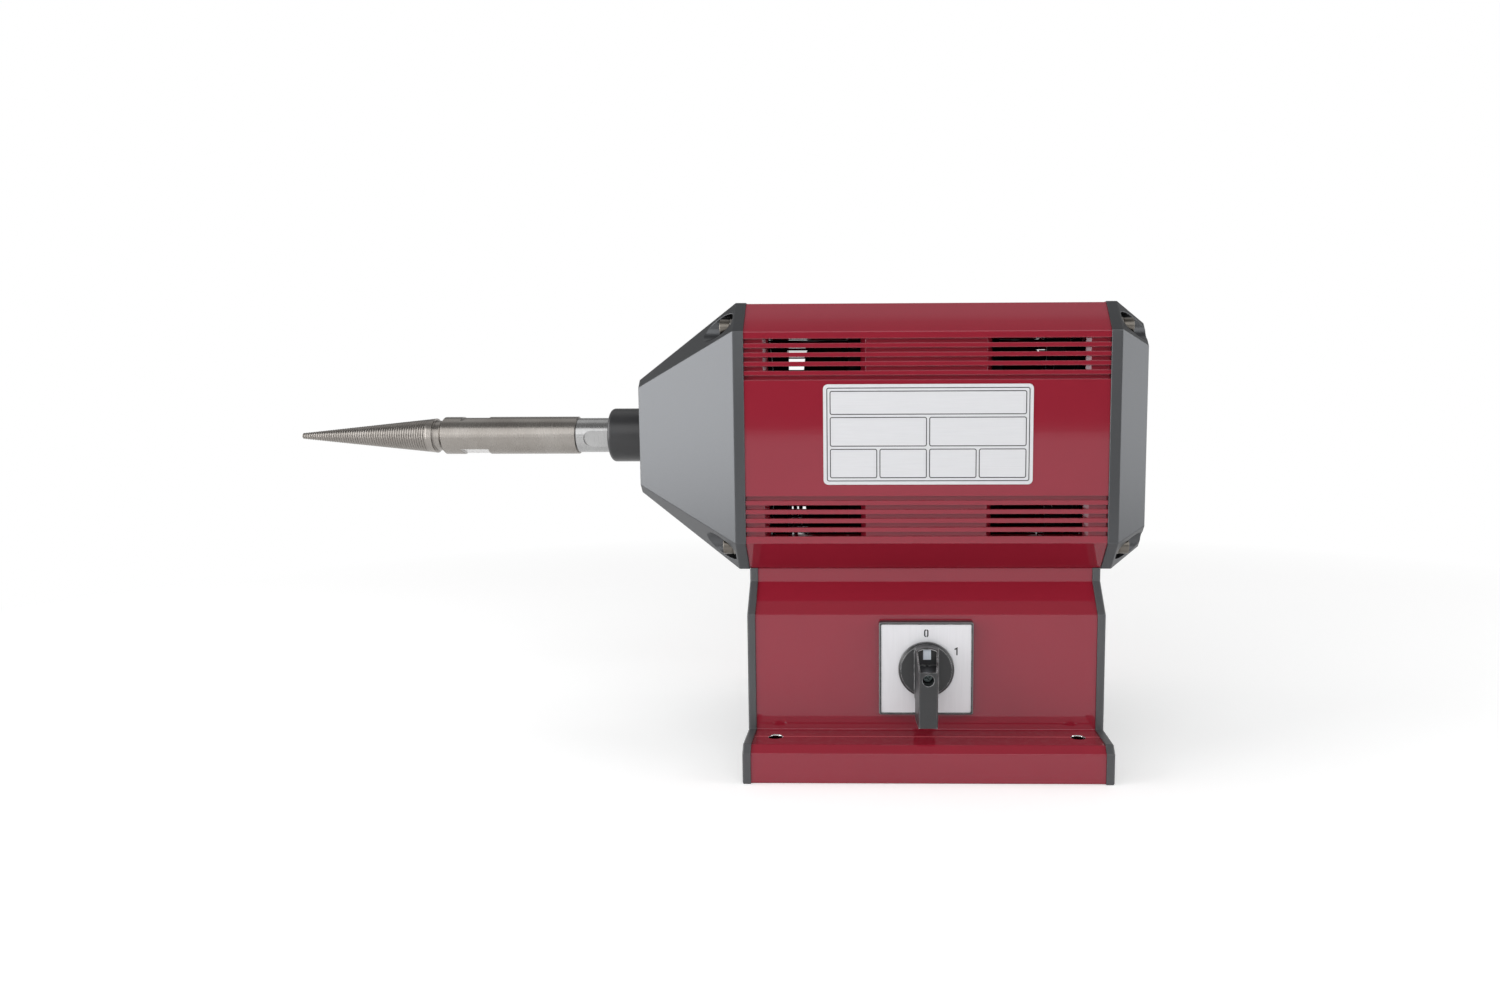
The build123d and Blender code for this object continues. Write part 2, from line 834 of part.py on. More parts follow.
def hat(grow, top, bottom):
    """The base outline in (y, z), with every side moved out by grow, between two heights."""
    bend = grow * (math.sqrt(2) - 1)
    half = [
        (neck_half + grow, top),
        (neck_half + grow, slope_top + bend),
        (panel_half + grow, slope_bottom + bend),
        (panel_half + grow, ledge_height + grow),
        (ledge_half + bend, ledge_height + grow),
        (foot_half_depth + grow, foot_face_height + bend),
        (foot_half_depth + grow, bottom),
    ]
    return Polygon(*reversed(half), *[(-y, z) for y, z in half], align=None)


def port_places():
    """Centres (y, z) of the four screw ports that take the end plate screws."""
    return [(side * y, z) for y, z in (upper_port, lower_port) for side in (-1, 1)]


def bench_places():
    """Centres (x, y) of the four bench bolt holes."""
    return [(x * bench_spacing_x / 2, y * bench_spacing_y / 2) for x, y in corner_signs]


def cover_screw_places():
    """Centres (x, y) of the four bottom cover screws."""
    return [(x * cover_screw_spacing / 2, y * cover_screw_y) for x, y in corner_signs]


def base_extrusion():
    outer = hat(0, base_height, 0)
    outer = fillet(outer.vertices(), edge_round)
    hollow = hat(-base_wall, base_height - base_wall, -overrun)
    profile = outer - hollow
    lip_reach = lip_width + base_wall / 2
    lip_y = foot_inner - lip_width + lip_reach / 2
    lip_z = cover_thickness + lip_thickness / 2
    line_side = 2 * drill_line_depth
    for side in (-1, 1):
        profile += Pos(side * lip_y, lip_z) * Rectangle(lip_reach, lip_thickness)
        line = Rectangle(line_side, line_side, drill_line_turn)
        profile -= Pos(side * bench_spacing_y / 2, ledge_height) * line
    for y, z in port_places():
        profile += Pos(y, z) * Circle(port_radius) & outer
        profile -= Pos(y, z) * Circle(base_screw_radius + seat_gap)
    base = prism(profile, -base_end, base_end, z=0)
    cuts = motor_bolt_holes() + [lead_hole()]
    rim = bench_hole_radius + bench_hole_edge
    for x, y in bench_places():
        hole_bottom = ledge_height - base_wall - overrun
        cuts.append(post(Circle(bench_hole_radius), x, y, hole_bottom, ledge_height + overrun))
        edge = Cone(bench_hole_radius, rim, bench_hole_edge)
        cuts.append(Pos(x, y, ledge_height - bench_hole_edge / 2) * edge)
    for x, y in cover_screw_places():
        top = cover_thickness + lip_thickness + overrun
        cuts.append(post(Circle(base_screw_radius + seat_gap), x, y, cover_thickness - overrun, top))
    front = (-panel_half - overrun, -panel_inner + overrun)
    cuts.append(forward(Circle(switch_shaft_radius + switch_wall / 2), 0, switch_height, *front))
    for x, z in switch_screw_places():
        cuts.append(forward(Circle(switch_screw_radius + motor_bolt_hole_gap), x, z, *front))
    back = (panel_inner - overrun, panel_half + overrun)
    cuts.append(forward(Circle(gland_thread_radius + seat_gap), gland_x, gland_z, *back))
    return base - cuts


def base_end_plate(side):
    """A closed end plate with a rounded outer edge; side is -1 on the left and 1 on the right."""
    outline = hat(end_plate_proud, base_height, 0)
    inner = side * base_end
    outer = side * (base_end + end_plate_thickness)
    plate = prism(outline, inner, outer, z=0)
    outer_face = plate.faces().filter_by(Axis.X).sort_by(Axis.X)[-1 if side > 0 else 0]
    plate = chamfer(outer_face.outer_wire().edges(), end_plate_round / 2)
    screw = Circle(base_screw_radius + motor_bolt_hole_gap)
    head_depth = base_screw_head_radius - base_screw_radius
    for y, z in port_places():
        plate -= prism(screw, inner - side * overrun, outer + side * overrun, y, z)
        plate -= screw_cone(y, z, outer, side, head_depth, panel_gap)
    return plate


def screw_cone(y, z, face, side, depth, gap):
    """The countersunk head of an end plate screw, or its seat where gap is more than zero."""
    large = axis_plane(face, y, z) * Circle(base_screw_head_radius + gap)
    small = axis_plane(face - side * depth, y, z) * Circle(base_screw_radius + gap)
    return loft([small, large])


def base_plate_screws():
    screws = []
    depth = base_screw_head_radius - base_screw_radius
    for side in (-1, 1):
        face = side * (base_end + end_plate_thickness)
        for y, z in port_places():
            shank = rod(face - side * depth, face - side * base_screw_length, base_screw_radius, y, z)
            screws.append(shank + screw_cone(y, z, face, side, depth, 0))
    return group(screws)


def cover_cone(x, y, gap):
    """The countersunk head of a bottom cover screw, or its seat where gap is more than zero."""
    depth = cover_thickness * (1 - cover_screw_land_share)
    head = base_screw_radius + depth
    low = Pos(x, y) * Circle(head + gap)
    high = Pos(x, y, depth) * Circle(base_screw_radius + gap)
    return loft([low, high])


def bottom_cover():
    half_x = base_end - panel_gap
    half_y = foot_inner - panel_gap
    cover = block((-half_x, half_x), (-half_y, half_y), (0, cover_thickness))
    for x, y in bench_places():
        cover -= post(Circle(bench_hole_radius), x, y, -overrun, cover_thickness + overrun)
    for x, y in cover_screw_places():
        cover -= post(Circle(base_screw_radius + panel_gap), x, y, -overrun, cover_thickness + overrun)
        cover -= cover_cone(x, y, panel_gap)
    for x, y in rivet_places():
        cover -= post(Circle(rivet_radius + seat_gap), x, y, -overrun, cover_thickness + overrun)
    return cover


def cover_screws():
    screws = []
    depth = cover_thickness * (1 - cover_screw_land_share)
    for x, y in cover_screw_places():
        shank = post(Circle(base_screw_radius), x, y, depth, cover_thickness + lip_thickness)
        screws.append(shank + cover_cone(x, y, 0))
    return group(screws)


# Motor bolts, nuts, grommet, leads and terminal block

def motor_bolts():
    bolts = []
    under = base_height - base_wall
    tip = base_height + housing_wall + motor_nut_height + motor_bolt_tail
    for x, y in motor_bolt_places():
        head = post(Circle(motor_bolt_head_radius), x, y, under - motor_bolt_head_height, under)
        bolts.append(head + post(Circle(motor_bolt_radius), x, y, under, tip))
    return group(bolts)


def motor_nuts():
    seat = base_height + housing_wall
    nut = RegularPolygon(motor_nut_width / 2, 6, major_radius=False) - Circle(motor_bolt_radius + seat_gap)
    return group(post(nut, x, y, seat, seat + motor_nut_height) for x, y in motor_bolt_places())


def lead_grommet():
    low = base_height - base_wall
    high = base_height + housing_wall
    body = grommet_bore + grommet_wall
    flange = body + grommet_flange
    grommet = post(Circle(body), grommet_x, grommet_side, low, high)
    grommet += post(Circle(flange), grommet_x, grommet_side, low - grommet_flange_height, low)
    grommet += post(Circle(flange), grommet_x, grommet_side, high, high + grommet_flange_height)
    bottom = low - grommet_flange_height - overrun
    return grommet - post(Circle(grommet_bore), grommet_x, grommet_side, bottom, high + base_wall)


def motor_leads():
    """Leads from the winding's end, out and down through the grommet and back to the terminal block."""
    winding_middle = stator_bore_radius + slot_tip + winding_thickness * lead_start_share
    start_z = -math.sqrt(winding_middle ** 2 - grommet_side ** 2) + axis_height
    leads = []
    for step in range(lead_count):
        offset = (step - (lead_count - 1) / 2) * lead_pitch
        x = grommet_x - offset
        high = start_z + offset
        low = terminal_z
        block_face = panel_inner - terminal_depth
        points = [(-winding_end, grommet_side, high), (x, grommet_side, high), (x, grommet_side, low),
                  (x, block_face, low)]
        path = FilletPolyline(*points, radius=lead_bend)
        section = Plane(origin=points[0], z_dir=(-1, 0, 0)) * Circle(lead_radius)
        leads.append(sweep(section, path=path))
    return group(leads)


def terminal_block():
    half = terminal_length / 2
    half_height = terminal_height / 2
    return block((grommet_x - half, grommet_x + half), (panel_inner - terminal_depth, panel_inner),
                 (terminal_z - half_height, terminal_z + half_height))


# Run capacitor

def run_capacitor():
    start = capacitor_x - capacitor_length / 2
    end = start + capacitor_length
    can = rod(start, end, capacitor_radius, capacitor_y, capacitor_z)
    can = fillet(can.edges().filter_by(GeomType.CIRCLE), capacitor_round)
    half_width = capacitor_tab_width / 2
    half_thickness = capacitor_tab_thickness / 2
    tab_x = (start - capacitor_tab_length, start + capacitor_round)
    tab_z = (capacitor_z - half_width, capacitor_z + half_width)
    for side in (-1, 1):
        y = capacitor_y + side * capacitor_tab_spacing / 2
        can += block(tab_x, (y - half_thickness, y + half_thickness), tab_z)
    return can


def rivet_places():
    """Centres (x, y) of the two rivets in the clamp's feet."""
    reach = clamp_foot_half - clamp_foot_reach / 2
    return [(capacitor_x, capacitor_y + side * reach) for side in (-1, 1)]


def capacitor_clamp():
    start = capacitor_x - clamp_width / 2
    end = start + clamp_width
    ring = rod(start, end, capacitor_radius + clamp_thickness, capacitor_y, capacitor_z)
    ring += block((start, end), (capacitor_y - clamp_foot_half, capacitor_y + clamp_foot_half),
                  (cover_thickness, cover_thickness + clamp_thickness))
    ring -= rod(start - overrun, end + overrun, capacitor_radius + seat_gap, capacitor_y, capacitor_z)
    for x, y in rivet_places():
        ring -= post(Circle(rivet_radius + seat_gap), x, y, 0, cover_thickness + clamp_thickness + overrun)
    return ring


def clamp_rivets():
    seat = cover_thickness + clamp_thickness
    rivets = []
    for x, y in rivet_places():
        head = post(Circle(rivet_head_radius), x, y, seat, seat + rivet_head_height)
        rivets.append(head + post(Circle(rivet_radius), x, y, 0, seat))
    return group(rivets)


# Cable gland

def gland_ring(outer, inner_radius, y_from, y_to):
    """A piece of the gland: any outline with a round hole, along Y."""
    return forward(outer - Circle(inner_radius), gland_x, gland_z, y_from, y_to)


def gland_hexagon():
    return RegularPolygon(gland_hex / 2, 6, major_radius=False)


def gland_body():
    inner_end = panel_inner - gland_inner_length
    body = gland_ring(Circle(gland_thread_radius), gland_bore_radius, inner_end, gland_tip)
    return body + gland_ring(gland_hexagon(), gland_bore_radius, panel_half, gland_face)


def gland_nut():
    inner_face = panel_inner - gland_nut_thickness
    return gland_ring(gland_hexagon(), gland_thread_radius + seat_gap, inner_face, panel_inner)


def gland_cap():
    cap = forward(Circle(gland_cap_radius), gland_x, gland_z, gland_face, gland_cap_end)
    rim = cap.edges().filter_by(GeomType.CIRCLE).sort_by(Axis.Y)[-1]
    cap = fillet(rim, gland_cap_round)
    socket = Circle(gland_thread_radius + seat_gap)
    cap -= forward(socket, gland_x, gland_z, gland_face - overrun, gland_tip)
    return cap - forward(Circle(gland_cable_radius), gland_x, gland_z, gland_face, gland_cap_end + overrun)


def gland_seal():
    outline = Circle(gland_bore_radius - seat_gap)
    return gland_ring(outline, gland_cable_radius, gland_tip - gland_seal_length, gland_tip)


# Switch

def switch_screw_places():
    """Centres (x, z) of the four screws that clamp the switch body to the bezel."""
    half = switch_screw_spread / 2
    return [(x * half, switch_height + z * half) for x, z in corner_signs]


def switch_bezel():
    outline = RectangleRounded(bezel_width, bezel_width, bezel_corner)
    recess = RectangleRounded(legend_width + 2 * seat_gap, legend_width + 2 * seat_gap, legend_corner)
    bezel = forward(outline, 0, switch_height, -panel_half, bezel_front)
    bezel = fillet(bezel.faces().sort_by(Axis.Y)[0].edges(), bezel_edge)
    bezel -= forward(recess, 0, switch_height, legend_back, bezel_front - overrun)
    shaft_hole = Circle(switch_shaft_radius + moving_gap)
    bezel -= forward(shaft_hole, 0, switch_height, -panel_half + overrun, bezel_front)
    for x, z in switch_screw_places():
        bezel -= forward(Circle(switch_screw_radius + panel_gap), x, z, -panel_half + overrun, bezel_front)
        head = Circle(switch_screw_head_radius + panel_gap)
        bezel -= forward(head, x, z, legend_back + switch_screw_head_height, bezel_front)
    return bezel


def legend_plate():
    outline = RectangleRounded(legend_width, legend_width, legend_corner)
    outline -= Circle(switch_shaft_radius + moving_gap)
    return forward(outline, 0, switch_height, legend_back, legend_front)


def switch_screws():
    screws = []
    seat = legend_back + switch_screw_head_height
    tip = -panel_inner + switch_screw_reach
    for x, z in switch_screw_places():
        head = forward(Circle(switch_screw_head_radius), x, z, legend_back, seat)
        screws.append(head + forward(Circle(switch_screw_radius), x, z, seat, tip))
    return group(screws)


def switch_body():
    outline = Rectangle(switch_body_width, switch_body_width)
    body = forward(outline, 0, switch_height, -panel_inner, switch_back)
    body -= forward(Circle(cam_radius + moving_gap), 0, switch_height, cam_start, switch_back + overrun)
    shaft_hole = Circle(switch_shaft_radius + running_gap)
    body -= forward(shaft_hole, 0, switch_height, -panel_inner - overrun, cam_start + overrun)
    hole = Circle(switch_screw_radius + seat_gap)
    for x, z in switch_screw_places():
        body -= forward(hole, x, z, -panel_inner - overrun, -panel_inner + switch_screw_reach + overrun)
    return body


def switch_rear_cover():
    outline = Rectangle(switch_body_width, switch_body_width)
    return forward(outline, 0, switch_height, switch_back, switch_back + switch_cover_thickness)


def switch_contacts():
    """Four contact screws on the sides of the switch body."""
    middle = (-panel_inner + switch_back) / 2
    contacts = []
    for x, z in corner_signs:
        face = x * switch_body_width / 2
        height = switch_height + z * contact_spacing / 2
        contacts.append(rod(face, face + x * contact_screw_height, contact_screw_radius, middle, height))
    return group(contacts)


def switch_cam():
    drum = (cam_start + moving_gap, switch_back - moving_gap)
    cam = forward(Circle(cam_radius), 0, switch_height, *drum)
    tip = -panel_half - switch_shaft_tip
    cam += forward(Circle(switch_shaft_radius), 0, switch_height, tip, drum[0])
    hole = Circle(knob_screw_radius + seat_gap)
    return cam - forward(hole, 0, switch_height, tip - overrun, tip + knob_screw_reach + overrun)


def knob_half_width(front, inset):
    """Half the width of the knob's bar at a distance in front of the panel, drawn in by inset."""
    return knob_bar_width / 2 - inset - knob_draft_share * (front - knob_disc_front)


def knob_section(points, inset):
    """A bar of the knob from (distance in front of the panel, height above the axis) points.

    Its sides lean in towards the front.
    """
    outline = Polygon(*[(-panel_half - front, height) for front, height in points], align=None)
    section = prism(outline, -knob_bar_width, knob_bar_width, z=switch_height)
    fronts = [front for front, height in points]
    left = [(-knob_half_width(front, inset), -panel_half - front) for front in (min(fronts), max(fronts))]
    plan = Polygon(*left, *[(-x, y) for x, y in reversed(left)], align=None)
    reach = knob_radius + lever_reach
    return section & extrude(Plane.XY.offset(switch_height - reach) * plan, 2 * reach)


def switch_knob():
    back = -legend_front - panel_half + moving_gap
    disc = forward(Circle(knob_radius), 0, switch_height, -panel_half - back, -panel_half - knob_disc_front)
    disc = chamfer(disc.edges().filter_by(GeomType.CIRCLE).sort_by(Axis.Y)[0], knob_skirt)
    bar = knob_section([
        (back, pointer_reach),
        (pointer_front, pointer_reach),
        (lever_front, lever_top),
        (lever_front, -lever_reach),
        (lever_underside, -lever_reach),
        (lever_underside, -knob_radius),
        (back, -knob_radius),
    ], 0)
    bar = fillet(bar.faces().sort_by(Axis.Y)[0].edges(), knob_round)
    front_view = Circle(pointer_reach) + Pos(0, -lever_reach / 2) * Rectangle(knob_bar_width, lever_reach)
    bar = bar & forward(front_view, 0, switch_height, -panel_half - back, -panel_half - lever_front)
    knob = disc + bar
    floor = pointer_front - pointer_recess
    recess = knob_section([
        (floor, pointer_reach),
        (lever_front + overrun, pointer_reach),
        (lever_front + overrun, lever_top),
        (floor, lever_top),
    ], pointer_rim)
    recess_end = Circle(pointer_reach - pointer_rim)
    knob -= recess & forward(recess_end, 0, switch_height, -panel_half, -panel_half - lever_front - overrun)
    shaft_bore = Circle(switch_shaft_radius + seat_gap)
    knob -= forward(shaft_bore, 0, switch_height, -panel_half, -panel_half - switch_shaft_tip)
    screw_seat = lever_front - knob_screw_depth - knob_screw_head_height
    knob -= forward(Circle(knob_screw_bore), 0, switch_height,
                    -panel_half - screw_seat, -panel_half - lever_front - overrun)
    knob -= forward(Circle(knob_screw_radius + seat_gap), 0, switch_height,
                    -panel_half - switch_shaft_tip + overrun, -panel_half - screw_seat - overrun)
    return knob


def knob_index():
    floor = -panel_half - pointer_front + pointer_recess
    height = switch_height + index_from_axis + index_length / 2
    return forward(Rectangle(index_width, index_length), 0, height, floor, floor - index_thickness)


def knob_screw():
    seat = -panel_half - (lever_front - knob_screw_depth - knob_screw_head_height)
    tip = -panel_half - switch_shaft_tip + knob_screw_reach
    screw = forward(Circle(knob_screw_head_radius), 0, switch_height, seat, seat - knob_screw_head_height)
    return screw + forward(Circle(knob_screw_radius), 0, switch_height, seat, tip)


def all_pieces():
    """Every piece of the machine by its name."""
    drive = bearing(drive_bearing_start, drive_bearing_width, drive_journal_radius, drive_bearing_section)
    rear = bearing(rear_bearing_start, rear_bearing_width, rear_journal_radius, rear_bearing_section)
    pieces = {
        "base_extrusion": base_extrusion(),
        "left_base_plate": base_end_plate(-1),
        "right_base_plate": base_end_plate(1),
        "base_plate_screws": base_plate_screws(),
        "bottom_cover": bottom_cover(),
        "bottom_cover_screws": cover_screws(),
        "motor_housing": motor_housing(),
        "rating_plate": rating_plate(),
        "drive_end_cap": drive_end_cap(),
        "rear_end_cap": rear_end_cap(),
        "drive_cap_screws": cap_screws(-1),
        "rear_cap_screws": cap_screws(1),
        "drive_cap_washers": cap_washers(-1),
        "rear_cap_washers": cap_washers(1),
        "stator_core": stator_core(),
        "stator_winding": stator_winding(),
        "rotor_core": rotor_core(),
        "rotor_end_rings": rotor_end_rings(),
        "motor_shaft": motor_shaft(),
        "bearing_circlip": bearing_circlip(),
        "wave_washer": wave_washer(),
        "cooling_fan": cooling_fan(),
        "fan_clip": fan_clip(),
        "shaft_collar": shaft_collar(),
        "shaft_seal": shaft_seal(),
        "taper_spindle": taper_spindle(),
        "motor_bolts": motor_bolts(),
        "motor_nuts": motor_nuts(),
        "lead_grommet": lead_grommet(),
        "motor_leads": motor_leads(),
        "terminal_block": terminal_block(),
        "run_capacitor": run_capacitor(),
        "capacitor_clamp": capacitor_clamp(),
        "clamp_rivets": clamp_rivets(),
        "gland_body": gland_body(),
        "gland_nut": gland_nut(),
        "gland_cap": gland_cap(),
        "gland_seal": gland_seal(),
        "switch_bezel": switch_bezel(),
        "legend_plate": legend_plate(),
        "switch_screws": switch_screws(),
        "switch_body": switch_body(),
        "switch_rear_cover": switch_rear_cover(),
        "switch_contacts": switch_contacts(),
        "switch_cam": switch_cam(),
        "switch_knob": switch_knob(),
        "knob_index": knob_index(),
        "knob_screw": knob_screw(),
    }
    names = ("outer_ring", "inner_ring", "balls", "cage")
    for end, rings in (("drive", drive), ("rear", rear)):
        for name, ring in zip(names, rings):
            pieces[f"{end}_bearing_{name}"] = ring
    return pieces


os.makedirs("parts", exist_ok=True)
for node, shape in all_pieces().items():
    export_step(shape, f"parts/{node}.step")
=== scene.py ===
import json
import math

import bmesh
import bpy
import numpy as np
from mathutils import Matrix, Vector


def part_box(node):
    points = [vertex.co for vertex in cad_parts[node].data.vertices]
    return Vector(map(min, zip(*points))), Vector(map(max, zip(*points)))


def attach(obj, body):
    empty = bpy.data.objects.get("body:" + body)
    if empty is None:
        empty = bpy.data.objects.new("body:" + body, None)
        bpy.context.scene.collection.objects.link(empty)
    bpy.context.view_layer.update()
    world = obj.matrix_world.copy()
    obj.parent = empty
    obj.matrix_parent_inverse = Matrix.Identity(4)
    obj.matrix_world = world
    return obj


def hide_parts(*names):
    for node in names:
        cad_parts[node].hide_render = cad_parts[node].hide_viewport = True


# Looks of a bench polishing machine: an octagonal motor on a hollow base with one taper spindle.
# Lengths are in metres. X runs along the shaft with the spindle towards -X, -Y is the front.

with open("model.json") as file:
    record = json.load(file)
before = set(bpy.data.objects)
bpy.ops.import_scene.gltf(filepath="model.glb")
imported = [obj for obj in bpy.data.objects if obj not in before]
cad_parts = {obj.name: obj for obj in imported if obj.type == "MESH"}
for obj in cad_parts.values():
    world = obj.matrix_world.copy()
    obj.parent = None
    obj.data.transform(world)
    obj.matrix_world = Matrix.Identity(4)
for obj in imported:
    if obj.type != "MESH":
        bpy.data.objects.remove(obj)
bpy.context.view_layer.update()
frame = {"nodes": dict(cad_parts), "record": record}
mm = 0.001

# Places read from the frame
housing_low, housing_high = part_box("motor_housing")
axis_height = (housing_low.z + housing_high.z) / 2
plate_low, plate_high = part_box("rating_plate")
legend_low, legend_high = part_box("legend_plate")
spindle_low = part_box("taper_spindle")[0]

# Camera, fitted to the photograph
image_width = 1500
image_height = 1000
focal_pixels = 1042.05
centre_pixel_x = 855.03
centre_pixel_y = 513.61
sensor_width = 36.0
camera_place = Vector((-25.43, -592.64, 187.19)) * mm
camera_yaw = 1.1558
camera_pitch = 6.0927
camera_roll = -0.2145
lens_near = 0.01

# Spindle sizes
sleeve_radius = 10.55 * mm
sleeve_length = 77.8 * mm
sleeve_edge = 1.7 * mm
sleeve_back_edge = 0.4 * mm
sleeve_lead = 1.5 * sleeve_edge
flat_start = 11.7 * mm
flat_length = 15.6 * mm
flat_depth = 1.4 * mm
flat_turn = -14.0
neck_radius = 8.5 * mm
neck_length = 4.0 * mm
taper_length = 78.0 * mm
taper_large_radius = 9.75 * mm
taper_tip_radius = 1.65 * mm
thread_pitch = 1.41 * mm
thread_depth = 0.42 * mm
thread_runout = 3.2 * mm
thread_depth_share = 0.35
thread_fade_share = 0.6
thread_wear = 0.8
thread_steps = 12
nose_share = 0.5
nose_steps = 8
neck_edge = 0.3 * mm
stub_radius = 7.05 * mm
stub_depth = 41.0 * mm
step_gap = 0.05 * mm
flat_margin = 0.02 * mm
flat_rows = 6
spindle_columns = 120
spindle_sharp_angle = 35.0

# Bench bolt holes, drilled through the ledges after coating
bolt_hole_x = 76.5 * mm
bolt_hole_y = 79.3 * mm
bolt_hole_radius = 3.5 * mm
bare_rim = 0.35 * mm
ledge_top = 40.0 * mm
drill_line_half = 0.85 * mm

# Marks on the switch plate
mark_thickness = 0.06 * mm
mark_stroke = 0.7 * mm
zero_height = 4.1 * mm
zero_width = 2.3 * mm
zero_from_axis = 18.4 * mm
one_height = 3.9 * mm
one_flag = 1.2 * mm
one_flag_share = 0.75
one_top_share = 0.4
one_from_axis = 18.0 * mm
one_angle = 60.0
zero_steps = 10
mitre_limit = 0.5
switch_axis = Vector((0, 0, (legend_low.z + legend_high.z) / 2))

# Ruled fields on the rating plate
rule_stroke = 0.45 * mm
rule_thickness = 0.05 * mm
plate_margin = 1.9 * mm
field_gap = 1.6 * mm
field_corner = 0.9 * mm
corner_steps = 8
header_share = 0.24
row_shares = (0.30, 0.30)
column_counts = (2, 4)

# Countersunk screws of the base end plates
plate_screw_places = ((62.0 * mm, 76.0 * mm), (71.2 * mm, 12.5 * mm))
plate_screw_head = 3.9 * mm
plate_screw_shank = 2.0 * mm
plate_screw_length = 12.0 * mm
plate_socket_half = 1.25 * mm
plate_socket_depth = 1.6 * mm
plate_screw_edge = 0.2 * mm
plate_screw_columns = 48
screw_sharp_angle = 30.0

# Screw in the knob, with a cross recess
knob_screw_head = 2.6 * mm
knob_screw_shank = 1.5 * mm
knob_screw_head_height = 2.4 * mm
knob_screw_edge = 0.25 * mm
cross_half_width = 0.42 * mm
cross_reach = 1.55 * mm
cross_depth = 1.1 * mm
cross_wall = 0.12 * mm
cross_turn = 20.0
cross_start_share = 0.02
cross_rows = 36
cross_columns = 96

# Spring washers under the cap screws
washer_outer = 4.6 * mm
washer_inner = 2.55 * mm
washer_split = 14.0
washer_rise = 0.5 * mm
washer_steps = 60

# Limits between which a mask rises from none to full
edge_cosines = (0.995, 0.86)
edge_patches = (0.3, 0.6)
noise_middle = (0.3, 0.7)
ring_marks = (0.35, 0.7)
dusty_slopes = (0.8, 1.0)
dusty_specks = (0.45, 0.75)
flake_sizes = (0.1, 0.9)

# Tones of the finishes that come once
deep_red = (0.242, 0.0122, 0.0258, 1)
light_red = (0.258, 0.0132, 0.0276, 1)
# Pale pink of the red's rubbed edges: partly wear, partly a painted highlight along the edges
worn_sheen_red = (0.42, 0.07, 0.09, 1)
dusty_red = (0.55, 0.45, 0.43, 1)
drilled_red = (0.35, 0.05, 0.065, 1)
bare_metal = (0.75, 0.74, 0.73, 1)
deep_graphite = (0.081, 0.084, 0.088, 1)
light_graphite = (0.092, 0.095, 0.100, 1)
worn_graphite = (0.2, 0.2, 0.21, 1)
worn_steel = (0.5, 0.49, 0.47, 1)
root_dirt_and_shade = (0.06, 0.05, 0.042, 1)
bright_flat = (0.62, 0.61, 0.6, 1)
deep_felt = (0.025, 0.025, 0.026, 1)
light_felt = (0.05, 0.05, 0.05, 1)
deep_ink = (0.02, 0.02, 0.022, 1)
light_ink = (0.035, 0.035, 0.038, 1)
plain_white = (1, 1, 1, 1)

# Lamp panels: place, aim, width, height and brightness of the face
lamp_panels = {
    "front_panel": ((0, -1.25, 0.85), (0, 0, 0.15), 2.4, 1.0, 1.65),
    "low_front_panel": ((-0.8, -1.08, 0.24), (-0.25, 0, 0.17), 0.6, 0.44, 1.3),
    "left_panel": ((-1.15, -0.3, 0.42), (0, -0.12, 0.34), 1.05, 0.84, 4.3),
    "right_panel": ((1.2, -0.2, 0.5), (0, -0.1, 0.4), 1.0, 1.0, 2.6),
    "top_panel": ((0, 0.42, 1.3), (0, 0.2, 0.2), 2.0, 0.8, 0.45),
}

# Studio walls, by the direction in which they are seen, and the floor
surround_level = 0.28
behind_camera_level = 0.12
backdrop_level = 1.0
backdrop_depths = (0.1, 0.5)
backdrop_heights = (0.42, 0.2)
front_depths = (-0.3, -0.8)
floor_half = 6.0
floor_tone = 0.9
floor_glow = 0.25
fade_start = 0.3
fade_end = 0.9


# Mesh from arrays

def grid_faces(rows, columns, wrap_rows, wrap_columns):
    """Four corners of every cell of a grid of points, as index rows; a wrapped side joins its far side."""
    row = np.arange(rows if wrap_rows else rows - 1)
    column = np.arange(columns if wrap_columns else columns - 1)
    row, column = np.meshgrid(row, column, indexing="ij")
    next_row = (row + 1) % rows
    next_column = (column + 1) % columns
    corners = [row * columns + column, row * columns + next_column,
               next_row * columns + next_column, next_row * columns + column]
    return np.stack([corner.ravel() for corner in corners], axis=1)


def mesh_piece(name, points, faces, smooth=True):
    """A new object at the origin from point rows and face rows."""
    mesh = bpy.data.meshes.new(name)
    mesh.from_pydata(points.tolist(), [], faces)
    mesh.polygons.foreach_set("use_smooth", np.full(len(mesh.polygons), smooth))
    mesh.update()
    piece = bpy.data.objects.new(name, mesh)
    bpy.context.scene.collection.objects.link(piece)
    return piece


def closed_turning(name, along, radius, sharp_angle, centre, axis=0):
    """A closed body round a line along X or Y: row i and turn j lie at along[i] or along[i, j] on the line
    and radius[i, j] away from it, with both ends on the line through the two numbers of the centre."""
    rows, columns = radius.shape
    along = np.broadcast_to(along.reshape(rows, -1), radius.shape)
    turn = np.linspace(0, 2 * np.pi, columns, endpoint=False)
    parts = [centre[0] + radius * np.cos(turn), centre[1] + radius * np.sin(turn)]
    parts.insert(axis, along)
    points = np.stack(parts, axis=-1).reshape(-1, 3)
    poles = np.tile(np.insert(np.array(centre, float), axis, 0), (2, 1))
    poles[:, axis] = along[0].mean(), along[-1].mean()
    faces = grid_faces(rows, columns, False, True).tolist()
    here = np.arange(columns)
    after = (here + 1) % columns
    first = np.stack([np.full(columns, rows * columns), after, here], axis=1)
    last_row = (rows - 1) * columns
    last = np.stack([np.full(columns, rows * columns + 1), last_row + here, last_row + after], axis=1)
    faces += first.tolist() + last.tolist()
    piece = mesh_piece(name, np.concatenate([points, poles]), faces)
    piece.data.set_sharp_from_angle(angle=math.radians(sharp_angle))
    return outward(piece)


